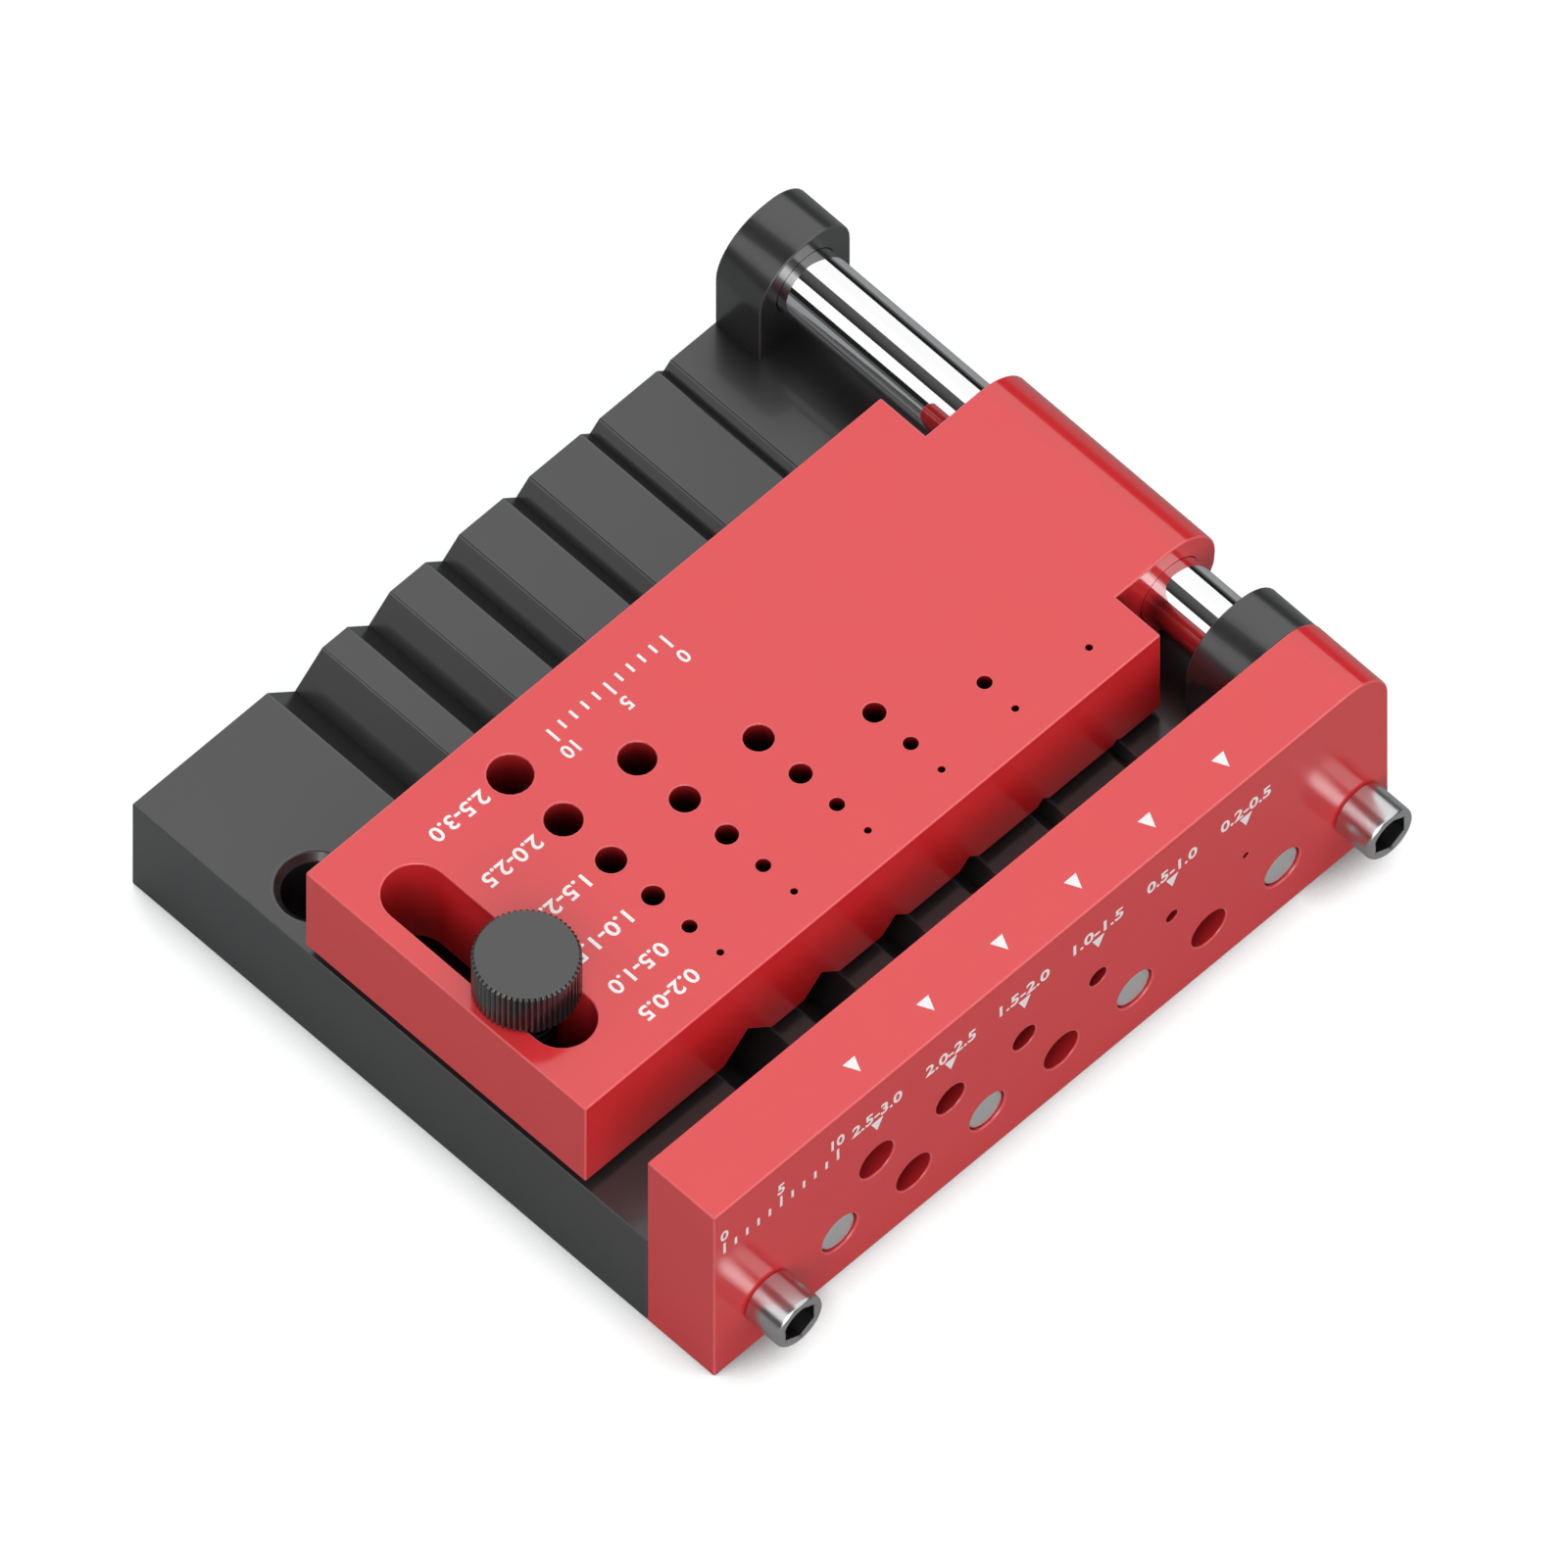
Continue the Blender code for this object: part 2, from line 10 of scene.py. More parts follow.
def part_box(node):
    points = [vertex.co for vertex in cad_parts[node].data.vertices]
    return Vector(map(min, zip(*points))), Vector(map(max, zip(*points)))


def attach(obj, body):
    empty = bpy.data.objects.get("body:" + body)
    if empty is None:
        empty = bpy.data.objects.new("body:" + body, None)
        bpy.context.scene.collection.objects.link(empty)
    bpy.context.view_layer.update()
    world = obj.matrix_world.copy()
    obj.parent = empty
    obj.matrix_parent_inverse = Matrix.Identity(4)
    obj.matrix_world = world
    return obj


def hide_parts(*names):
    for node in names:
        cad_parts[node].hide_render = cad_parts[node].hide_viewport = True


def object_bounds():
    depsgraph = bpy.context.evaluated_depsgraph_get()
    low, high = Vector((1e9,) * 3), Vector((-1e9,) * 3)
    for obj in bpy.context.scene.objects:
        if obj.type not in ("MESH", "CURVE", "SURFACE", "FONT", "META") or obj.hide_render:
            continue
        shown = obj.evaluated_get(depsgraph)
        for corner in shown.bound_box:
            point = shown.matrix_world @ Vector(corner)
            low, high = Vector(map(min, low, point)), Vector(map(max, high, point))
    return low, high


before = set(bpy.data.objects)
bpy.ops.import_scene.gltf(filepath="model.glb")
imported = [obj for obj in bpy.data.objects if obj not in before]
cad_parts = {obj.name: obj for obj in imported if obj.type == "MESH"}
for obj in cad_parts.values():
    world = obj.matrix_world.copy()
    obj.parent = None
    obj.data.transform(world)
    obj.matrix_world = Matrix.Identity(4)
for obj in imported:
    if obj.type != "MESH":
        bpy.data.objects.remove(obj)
cad_low, cad_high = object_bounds()

# Base: a milled bar of aluminium with six rod grooves and two hinge lugs left standing at its back.
# Its edges are broken with a deburring tool, then the bar is blasted and anodised black.
MM = 0.001
WELD = 0.001 * MM
EDGE_BREAK = 0.12 * MM
FULL_BREAK = 0.35 * MM
BREAK_SEGMENTS = 3
BORE_ROOM = 0.1 * MM
SHARP = math.radians(25)
FLAT = math.radians(0.5)
CREASE = math.radians(40)
# Painted shade: colours darken in holes and inner corners, by ambient occlusion within this reach.
PAINTED_SHADE_REACH = 3.0 * MM
SKY_SAMPLES = 8
GRAIN_SCALE = 9000.0
GRAIN_DETAIL = 2.0
CLOUD_SCALE = 220.0
CLOUD_DETAIL = 3.0
NOISE_MIDDLE = 0.5
BLACK = (0.018, 0.018, 0.019, 1.0)
# Broken edges take a lighter black: a painted highlight along them.
BLACK_EDGE_HIGHLIGHT = (0.045, 0.045, 0.046, 1.0)
BLACK_GLOSS = 0.30
BLACK_SHEEN = {"Specular_IOR_Level": 0.9, "Coat_Weight": 0.3, "Coat_Roughness": 0.08}
# Its look includes painted shade in holes and inner corners.
BLACK_LOOK = {"Cloud": 0.10, "Corners": 1.0, "Gloss_Spread": 0.08, "Relief": 0.0006 * MM}


def link(name, data):
    """Put a mesh, a lamp or other data into the scene as a new object."""
    obj = bpy.data.objects.new(name, data)
    bpy.context.scene.collection.objects.link(obj)
    return obj


def settle(obj):
    """Turn a piece and its modifiers into one plain mesh."""
    graph = bpy.context.evaluated_depsgraph_get()
    mesh = bpy.data.meshes.new_from_object(obj.evaluated_get(graph))
    obj.modifiers.clear()
    obj.data = mesh
    mesh.name = obj.name
    return obj


shaft_low, shaft_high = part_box("hinge_shaft")
shaft_middle = (shaft_low + shaft_high) / 2
shaft_radius = (shaft_high.x - shaft_low.x) / 2


def in_bore(edge):
    """Whether an edge lies on a bore for the hinge shaft, which is reamed and left crisp."""
    spots = [vert.co * MM - shaft_middle for vert in edge.verts]
    return all(math.hypot(spot.x, spot.z) < shaft_radius + BORE_ROOM for spot in spots)


def flat_parts(bm):
    """The triangles that make up each flat face, with any that were left folded over."""
    parts = []
    seen = set()
    for first in bm.faces:
        if first in seen:
            continue
        part = {first}
        queue = [first]
        while queue:
            for edge in queue.pop().edges:
                for face in edge.link_faces:
                    if face not in part and abs(face.normal.dot(first.normal)) > math.cos(FLAT):
                        part.add(face)
                        queue.append(face)
        seen |= part
        parts.append(part)
    return parts


def unfold(bm):
    """Fill a flat face again where breaking its edges left a sliver folded over."""
    for part in flat_parts(bm):
        largest = max(part, key=lambda face: face.calc_area())
        normal = largest.normal.copy()
        if all(face.normal.dot(normal) > 0 for face in part):
            continue
        index = largest.material_index
        rim = [edge for face in part for edge in face.edges if len(part.intersection(edge.link_faces)) == 1]
        bmesh.ops.delete(bm, geom=list(part), context="FACES_KEEP_BOUNDARY")
        filled = bmesh.ops.triangle_fill(bm, use_beauty=True, edges=rim, normal=normal)
        for face in filled["geom"]:
            if isinstance(face, bmesh.types.BMFace):
                face.material_index = index


def shade(mesh):
    """Keep flat faces flat, turn smoothly round broken edges and bores, and split at inner corners."""
    bm = bmesh.new()
    bm.from_mesh(mesh)
    unfold(bm)
    bm.to_mesh(mesh)
    bm.faces.ensure_lookup_table()
    areas = {}
    for part in flat_parts(bm):
        whole = sum(face.calc_area() for face in part)
        areas.update((face, whole) for face in part)
    normals = []
    for face in bm.faces:
        for vert in [loop.vert for loop in face.loops]:
            near = [other for other in vert.link_faces if other.normal.angle(face.normal, 0) < CREASE]
            normals.append(sum((other.normal * areas[other] ** 2 for other in near), Vector()).normalized())
    bm.free()
    mesh.shade_smooth()
    mesh.normals_split_custom_set(normals)


def deburred(name, node, finishes, crisp=in_bore):
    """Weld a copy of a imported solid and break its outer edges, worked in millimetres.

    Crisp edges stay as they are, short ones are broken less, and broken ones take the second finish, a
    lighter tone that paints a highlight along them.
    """
    bm = bmesh.new()
    bm.from_mesh(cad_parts[node].data)
    bmesh.ops.scale(bm, vec=(1 / MM, 1 / MM, 1 / MM), verts=bm.verts)
    bmesh.ops.remove_doubles(bm, verts=bm.verts, dist=WELD / MM)
    bmesh.ops.dissolve_limit(bm, angle_limit=FLAT, verts=bm.verts, edges=bm.edges)
    broken = bm.edges.layers.float.new("bevel_weight_edge")
    outer = {edge for edge in bm.edges if edge.calc_face_angle_signed(0) > SHARP}
    for edge in outer:
        if crisp(edge):
            continue
        at_ends = [near for vert in edge.verts for near in vert.link_edges if near in outer]
        shortest = min(near.calc_length() for near in at_ends)
        edge[broken] = min(shortest * MM / FULL_BREAK, 1)
    mesh = bpy.data.meshes.new(name)
    bm.to_mesh(mesh)
    bm.free()
    for finish in finishes:
        mesh.materials.append(finish)
    piece = link(name, mesh)
    bevel = piece.modifiers.new("edge_break", "BEVEL")
    bevel.width = EDGE_BREAK / MM
    bevel.segments = BREAK_SEGMENTS
    # The broken edges take the second finish: a painted highlight.
    bevel.material = 1
    bevel.limit_method = "WEIGHT"
    bevel.use_clamp_overlap = False
    bevel.loop_slide = False
    piece.modifiers.new("triangles", "TRIANGULATE").ngon_method = "CLIP"
    settle(piece)
    shade(piece.data)
    piece.data.transform(Matrix.Scale(MM, 4))
    return piece


def add(tree, kind, **settings):
    """A new node with some of its settings and unlinked inputs filled in."""
    node = tree.nodes.new(kind)
    for key, value in settings.items():
        if hasattr(node, key):
            setattr(node, key, value)
        else:
            node.inputs[key.replace("_", " ").strip()].default_value = value
    return node


def new_group(name, kind, inputs, outputs):
    """An empty node group with named sockets, and its input and output nodes."""
    tree = bpy.data.node_groups.new(name, kind)
    for socket, form in inputs.items():
        tree.interface.new_socket(socket, in_out="INPUT", socket_type="NodeSocket" + form)
    for socket, form in outputs.items():
        tree.interface.new_socket(socket, in_out="OUTPUT", socket_type="NodeSocket" + form)
    return tree, tree.nodes.new("NodeGroupInput"), tree.nodes.new("NodeGroupOutput")


def painted_corner_shade(tree, given):
    """Painted shade: a factor from ambient occlusion that darkens the colour in holes and inner corners of
    a piece, raised to the power given for it.
    """
    open_sky = add(tree, "ShaderNodeAmbientOcclusion", samples=SKY_SAMPLES, only_local=True)
    open_sky.inputs["Distance"].default_value = PAINTED_SHADE_REACH
    painted_shade = add(tree, "ShaderNodeMath", operation="POWER")
    tree.links.new(open_sky.outputs["AO"], painted_shade.inputs[0])
    tree.links.new(given.outputs["Corners"], painted_shade.inputs[1])
    return painted_shade.outputs[0]


def blasted_skin():
    """Shader group: the fine grain of blasted metal under a coloured anodic skin, with painted shade
    darkening its colour in holes and inner corners.
    """
    tree, given, made = new_group(
        "blasted_skin",
        "ShaderNodeTree",
        {
            "Colour": "Color",
            "Cloud": "Float",
            "Corners": "Float",
            "Gloss": "Float",
            "Gloss Spread": "Float",
            "Relief": "Float",
        },
        {"Colour": "Color", "Roughness": "Float", "Normal": "Vector"},
    )
    place = add(tree, "ShaderNodeTexCoord")
    grain = add(tree, "ShaderNodeTexNoise", Scale=GRAIN_SCALE, Detail=GRAIN_DETAIL)
    cloud = add(tree, "ShaderNodeTexNoise", Scale=CLOUD_SCALE, Detail=CLOUD_DETAIL)
    for noise in (grain, cloud):
        tree.links.new(place.outputs["Object"], noise.inputs["Vector"])
    centred = add(tree, "ShaderNodeMath", operation="SUBTRACT")
    centred.inputs[1].default_value = NOISE_MIDDLE
    tree.links.new(cloud.outputs["Fac"], centred.inputs[0])
    clouded = add(tree, "ShaderNodeMath", operation="MULTIPLY_ADD")
    clouded.inputs[2].default_value = 1.0
    tree.links.new(centred.outputs[0], clouded.inputs[0])
    tree.links.new(given.outputs["Cloud"], clouded.inputs[1])
    # The random cloudy tone, times painted shade in holes and inner corners.
    depth = add(tree, "ShaderNodeMath", operation="MULTIPLY")
    tree.links.new(clouded.outputs[0], depth.inputs[0])
    tree.links.new(painted_corner_shade(tree, given), depth.inputs[1])
    tone_and_shade = add(tree, "ShaderNodeVectorMath", operation="SCALE")
    tree.links.new(given.outputs["Colour"], tone_and_shade.inputs[0])
    tree.links.new(depth.outputs[0], tone_and_shade.inputs["Scale"])
    spread = add(tree, "ShaderNodeMath", operation="MULTIPLY_ADD")
    tree.links.new(centred.outputs[0], spread.inputs[0])
    tree.links.new(given.outputs["Gloss Spread"], spread.inputs[1])
    tree.links.new(given.outputs["Gloss"], spread.inputs[2])
    bump = add(tree, "ShaderNodeBump", Strength=1.0)
    tree.links.new(grain.outputs["Fac"], bump.inputs["Height"])
    tree.links.new(given.outputs["Relief"], bump.inputs["Distance"])
    tree.links.new(tone_and_shade.outputs[0], made.inputs["Colour"])
    tree.links.new(spread.outputs[0], made.inputs["Roughness"])
    tree.links.new(bump.outputs[0], made.inputs["Normal"])
    return tree


def new_finish(name, **fixed):
    """A material with a Principled shader whose named inputs are set."""
    material = bpy.data.materials.new(name)
    material.use_nodes = True
    shader = material.node_tree.nodes["Principled BSDF"]
    for key, value in fixed.items():
        shader.inputs[key.replace("_", " ")].default_value = value
    return material, shader


def dress(material, shader, group, **values):
    """Place a shader group in a material and join its outputs to the shader."""
    tree = material.node_tree
    node = tree.nodes.new("ShaderNodeGroup")
    node.node_tree = group
    for key, value in values.items():
        node.inputs[key.replace("_", " ")].default_value = value
    for source, target in (("Colour", "Base Color"), ("Roughness", "Roughness"), ("Normal", "Normal")):
        if source in node.outputs:
            tree.links.new(node.outputs[source], shader.inputs[target])
    return material


def black_skin(name, colour, gloss):
    """Black anodising, in the tone of a face, or lighter as a painted highlight along broken edges."""
    finish, shader = new_finish(name, **BLACK_SHEEN)
    return dress(finish, shader, SKIN, Colour=colour, Gloss=gloss, **BLACK_LOOK)


SKIN = blasted_skin()
black_finish = black_skin("black_anodised", BLACK, BLACK_GLOSS)
# The second black paints a highlight along the broken edges.
black_edges = black_skin("black_edges", BLACK_EDGE_HIGHLIGHT, BLACK_GLOSS)

base = deburred("base_bar", "base_plate", (black_finish, black_edges))
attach(base, "base")
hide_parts("base_plate")

# Locating pins: two hardened steel pins, ground round and pressed half into the base, half into the block.
# They hold the guide holes in line with the grooves and stay hidden when the block is screwed on.
PIN_CHAMFER = 0.2 * MM
PIN_STEPS = 32
PIN_STEEL = (0.42, 0.42, 0.43, 1.0)
PIN_LOOK = {"Gloss": 0.22, "Relief": 0.0004 * MM}
# Turned metal gets stains and painted shade in holes and inner corners.
METAL_LOOK = {"Stain": 0.08, "Corners": 1.0, "Gloss_Spread": 0.1}
RING_SCALE = 14000.0
HAZE_SCALE = 500.0
LINE_DETAIL = 2.0
TO_FRONT = Matrix.Rotation(math.radians(90), 4, "X")


def turned(name, rows, steps):
    """Spin rows of (radius, height, sides) about Z, from the bottom up: sides is 0 where it is round."""
    bm = bmesh.new()
    rings = []
    for radius, height, sides in rows:
        if radius == 0:
            rings.append([bm.verts.new((0, 0, height))])
            continue
        ring = []
        for i in range(steps):
            angle = 2 * math.pi * i / steps
            reach = radius
            if sides:
                half = math.pi / sides
                reach = radius / math.cos((angle + half) % (2 * half) - half)
            ring.append(bm.verts.new((reach * math.cos(angle), reach * math.sin(angle), height)))
        rings.append(ring)
    for low, high in zip(rings, rings[1:]):
        for i in range(steps):
            j = (i + 1) % steps
            corners = [low[i % len(low)], low[j % len(low)], high[j % len(high)], high[i % len(high)]]
            bm.faces.new(list(dict.fromkeys(corners)))
    bmesh.ops.recalc_face_normals(bm, faces=bm.faces)
    mesh = bpy.data.meshes.new(name)
    bm.to_mesh(mesh)
    bm.free()
    mesh.shade_smooth()
    mesh.set_sharp_from_angle(angle=SHARP)
    return mesh


def round_rows(*points):
    """Plain round rows for a turned piece."""
    return [(radius, height, 0) for radius, height in points]


def chamfered_rod(radius, length, chamfer):
    """Rows of a rod that hangs down from its top end, with a chamfer at both ends."""
    return round_rows(
        (0, -length),
        (radius - chamfer, -length),
        (radius, chamfer - length),
        (radius, -chamfer),
        (radius - chamfer, 0),
        (0, 0),
    )


def row_of_pieces():
    """Geometry group: repeats a piece along a straight row."""
    tree, given, made = new_group(
        "row_of_pieces",
        "GeometryNodeTree",
        {
            "Piece": "Geometry",
            "First": "Vector",
            "Step": "Vector",
            "Count": "Int",
            "Stretch": "Vector",
            "Stretch Every": "Int",
            "Finish": "Material",
        },
        {"Row": "Geometry"},
    )
    line = add(tree, "GeometryNodeMeshLine", mode="OFFSET")
    turn = add(tree, "GeometryNodeInputIndex")
    phase = add(tree, "ShaderNodeMath", operation="FLOORED_MODULO")
    first_of = add(tree, "FunctionNodeCompare", operation="LESS_THAN", B=0.5)
    size = add(tree, "GeometryNodeSwitch", input_type="VECTOR", False_=(1.0, 1.0, 1.0))
    spots = add(tree, "GeometryNodeInstanceOnPoints")
    real = add(tree, "GeometryNodeRealizeInstances")
    paint = add(tree, "GeometryNodeSetMaterial")
    tree.links.new(turn.outputs[0], phase.inputs[0])
    tree.links.new(given.outputs["Stretch Every"], phase.inputs[1])
    tree.links.new(phase.outputs[0], first_of.inputs["A"])
    tree.links.new(first_of.outputs[0], size.inputs["Switch"])
    tree.links.new(given.outputs["Stretch"], size.inputs["True"])
    tree.links.new(size.outputs[0], spots.inputs["Scale"])
    tree.links.new(given.outputs["Count"], line.inputs["Count"])
    tree.links.new(given.outputs["First"], line.inputs["Start Location"])
    tree.links.new(given.outputs["Step"], line.inputs["Offset"])
    tree.links.new(line.outputs["Mesh"], spots.inputs["Points"])
    tree.links.new(given.outputs["Piece"], spots.inputs["Instance"])
    tree.links.new(spots.outputs["Instances"], real.inputs["Geometry"])
    tree.links.new(real.outputs["Geometry"], paint.inputs["Geometry"])
    tree.links.new(given.outputs["Finish"], paint.inputs["Material"])
    tree.links.new(paint.outputs["Geometry"], made.inputs["Row"])
    return tree


def run_tree(name, mesh, tree, **values):
    """Make a piece from a mesh and a geometry group, with the group's inputs set by name."""
    piece = link(name, mesh)
    modifier = piece.modifiers.new(tree.name, "NODES")
    modifier.node_group = tree
    values = {"Stretch": (1.0, 1.0, 1.0), "Stretch_Every": 1, **values}
    for socket in tree.interface.items_tree:
        key = socket.name.replace(" ", "_")
        if key in values:
            modifier[socket.identifier] = values[key]
    return settle(piece)


def lathe_lines():
    """Shader group: fine rings left by the lathe or grinder along an axis, with stains, and painted shade
    darkening the colour in holes and inner corners.
    """
    tree, given, made = new_group(
        "lathe_lines",
        "ShaderNodeTree",
        {
            "Colour": "Color",
            "Stain": "Float",
            "Corners": "Float",
            "Axis": "Vector",
            "Gloss": "Float",
            "Gloss Spread": "Float",
            "Relief": "Float",
        },
        {"Colour": "Color", "Roughness": "Float", "Normal": "Vector"},
    )
    place = add(tree, "ShaderNodeTexCoord")
    along = add(tree, "ShaderNodeVectorMath", operation="DOT_PRODUCT")
    rings = add(tree, "ShaderNodeTexNoise", noise_dimensions="1D", Scale=RING_SCALE, Detail=LINE_DETAIL)
    haze = add(tree, "ShaderNodeTexNoise", Scale=HAZE_SCALE, Detail=LINE_DETAIL)
    tree.links.new(place.outputs["Object"], along.inputs[0])
    tree.links.new(given.outputs["Axis"], along.inputs[1])
    tree.links.new(along.outputs["Value"], rings.inputs["W"])
    tree.links.new(place.outputs["Object"], haze.inputs["Vector"])
    spread = add(tree, "ShaderNodeMath", operation="MULTIPLY_ADD")
    tree.links.new(haze.outputs["Fac"], spread.inputs[0])
    tree.links.new(given.outputs["Gloss Spread"], spread.inputs[1])
    tree.links.new(given.outputs["Gloss"], spread.inputs[2])
    bump = add(tree, "ShaderNodeBump", Strength=1.0)
    tree.links.new(rings.outputs["Fac"], bump.inputs["Height"])
    tree.links.new(given.outputs["Relief"], bump.inputs["Distance"])
    stain = add(tree, "ShaderNodeMath", operation="MULTIPLY")
    tree.links.new(haze.outputs["Fac"], stain.inputs[0])
    tree.links.new(given.outputs["Stain"], stain.inputs[1])
    clean = add(tree, "ShaderNodeMath", operation="SUBTRACT")
    clean.inputs[0].default_value = 1.0
    tree.links.new(stain.outputs[0], clean.inputs[1])
    # The stains, times painted shade in holes and inner corners.
    depth = add(tree, "ShaderNodeMath", operation="MULTIPLY")
    tree.links.new(clean.outputs[0], depth.inputs[0])
    tree.links.new(painted_corner_shade(tree, given), depth.inputs[1])
    tone_and_shade = add(tree, "ShaderNodeVectorMath", operation="SCALE")
    tree.links.new(given.outputs["Colour"], tone_and_shade.inputs[0])
    tree.links.new(depth.outputs[0], tone_and_shade.inputs["Scale"])
    tree.links.new(tone_and_shade.outputs[0], made.inputs["Colour"])
    tree.links.new(spread.outputs[0], made.inputs["Roughness"])
    tree.links.new(bump.outputs[0], made.inputs["Normal"])
    return tree


def turned_metal(name, colour, axis, **look):
    """Bare or plated metal with lathe lines about an axis."""
    finish, shader = new_finish(name, Metallic=1.0)
    return dress(finish, shader, LINES, Colour=colour, Axis=axis, **{**METAL_LOOK, **look})


ROW = row_of_pieces()
LINES = lathe_lines()

pin_low, pin_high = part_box("locating_pin_left")
pin_far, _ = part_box("locating_pin_right")
pin_radius = (pin_high.x - pin_low.x) / 2
pin_length = pin_high.y - pin_low.y
pin_mesh = turned("locating_pin", chamfered_rod(pin_radius, pin_length, PIN_CHAMFER), PIN_STEPS)
pin_mesh.transform(TO_FRONT)
pin_finish = turned_metal("ground_steel", PIN_STEEL, (0, 1, 0), **PIN_LOOK)
pins = run_tree(
    "locating_pins",
    pin_mesh,
    ROW,
    First=((pin_low.x + pin_high.x) / 2, pin_low.y, (pin_low.z + pin_high.z) / 2),
    Step=(pin_far.x - pin_low.x, 0.0, 0.0),
    Count=2,
    Finish=pin_finish,
)
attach(pins, "base")
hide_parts("locating_pin_left", "locating_pin_right")

# End block: a red anodised aluminium bar that stands across the ends of the grooves.
# One guide hole is drilled for each groove, over a row of magnets, spare holes and screw holes.
RED = (0.765, 0.030, 0.036, 1.0)
# Broken edges take a lighter red: a painted highlight along them.
RED_EDGE_HIGHLIGHT = (0.84, 0.10, 0.11, 1.0)
RED_SHEEN = {"Specular_IOR_Level": 0.95}
# Its look includes strong painted shade in holes and inner corners.
RED_LOOK = {"Cloud": 0.06, "Corners": 1.3, "Gloss": 0.15, "Gloss_Spread": 0.05, "Relief": 0.0002 * MM}


def red_skin(name, colour):
    """Red anodising, in the tone of a face, or lighter as a painted highlight along broken edges."""
    finish, shader = new_finish(name, **RED_SHEEN)
    return dress(finish, shader, SKIN, Colour=colour, **RED_LOOK)


red_finish = red_skin("red_anodised", RED)
# The second red paints a highlight along the broken edges.
red_edges = red_skin("red_edges", RED_EDGE_HIGHLIGHT)

block = deburred("guide_block", "end_block", (red_finish, red_edges))
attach(block, "base")
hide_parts("end_block")

# Cap screws: two polished steel socket heads, turned and broached for a hex key.
# They pass through the block into the base and stand proud of its front face.
SHANK_RADIUS = 1.25 * MM
HEAD_ROUND = 0.32 * MM
UNDER_ROUND = 0.15 * MM
ROUND_STEPS = 4
SOCKET_SIDES = 6
SOCKET_FLATS = 2.5 * MM
SOCKET_DEPTH = 1.6 * MM
SOCKET_LEAD = 0.12 * MM
SCREW_STEPS = 72
SCREW_STEEL = (0.64, 0.64, 0.65, 1.0)
# The screws get a little less painted shade in their corners.
SCREW_LOOK = {"Gloss": 0.20, "Corners": 0.8, "Relief": 0.0002 * MM}

block_low, block_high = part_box("end_block")
screw_low, screw_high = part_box("cap_screw_left")
screw_far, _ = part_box("cap_screw_right")
head_radius = (screw_high.x - screw_low.x) / 2
head_height = block_low.y - screw_low.y
shank_length = screw_high.y - block_low.y


def rounded_edge(radius, height, corner, steps):
    """Rows that round an outer top edge, from its side up to its face."""
    rows = []
    for i in range(steps + 1):
        angle = math.pi / 2 * i / steps
        out = radius - corner + corner * math.cos(angle)
        up = height - corner + corner * math.sin(angle)
        rows.append((out, up, 0))
    return rows


screw_rows = round_rows((0, -shank_length), (SHANK_RADIUS, -shank_length), (SHANK_RADIUS, 0))
screw_rows += round_rows((head_radius - UNDER_ROUND, 0), (head_radius, UNDER_ROUND))
screw_rows += rounded_edge(head_radius, head_height, HEAD_ROUND, ROUND_STEPS)
screw_rows += round_rows((SOCKET_FLATS / math.sqrt(3) + SOCKET_LEAD, head_height))
for depth in (SOCKET_LEAD, SOCKET_DEPTH):
    screw_rows.append((SOCKET_FLATS / 2, head_height - depth, SOCKET_SIDES))
screw_rows += round_rows((0, head_height - SOCKET_DEPTH - SOCKET_LEAD))
screw_mesh = turned("cap_screw", screw_rows, SCREW_STEPS)
screw_mesh.transform(TO_FRONT)
screw_finish = turned_metal("screw_steel", SCREW_STEEL, (0, 1, 0), **SCREW_LOOK)
screws = run_tree(
    "cap_screws",
    screw_mesh,
    ROW,
    First=((screw_low.x + screw_high.x) / 2, block_low.y, (screw_low.z + screw_high.z) / 2),
    Step=(screw_far.x - screw_low.x, 0.0, 0.0),
    Count=2,
    Finish=screw_finish,
)
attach(screws, "base")
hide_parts("cap_screw_left", "cap_screw_right")

# Magnets: four nickel plated discs glued into the lower row, a hair below the face of the block.
# They hold a steel stop plate against the face. Their rims are rounded and their plating is dull.
MAGNETS = ("magnet_1", "magnet_2", "magnet_3", "magnet_4")
MAGNET_RIM = 0.16 * MM
MAGNET_STEPS = 64
NICKEL = (0.85, 0.95, 0.94, 1.0)
NICKEL_LOOK = {"Gloss": 0.45, "Relief": 0.0003 * MM}

magnet_low, magnet_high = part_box(MAGNETS[0])
next_magnet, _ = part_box(MAGNETS[1])
magnet_radius = (magnet_high.x - magnet_low.x) / 2
magnet_length = magnet_high.y - magnet_low.y
magnet_rows = round_rows((0, -magnet_length), (magnet_radius, -magnet_length))
magnet_rows += rounded_edge(magnet_radius, 0, MAGNET_RIM, ROUND_STEPS) + round_rows((0, 0))
magnet_mesh = turned("magnet", magnet_rows, MAGNET_STEPS)
magnet_mesh.transform(TO_FRONT)
nickel_finish = turned_metal("nickel_plate", NICKEL, (1, 0, 0), **NICKEL_LOOK)
magnets = run_tree(
    "magnets",
    magnet_mesh,
    ROW,
    First=((magnet_low.x + magnet_high.x) / 2, magnet_low.y, (magnet_low.z + magnet_high.z) / 2),
    Step=(next_magnet.x - magnet_low.x, 0.0, 0.0),
    Count=len(MAGNETS),
    Finish=nickel_finish,
)
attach(magnets, "base")
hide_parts(*MAGNETS)

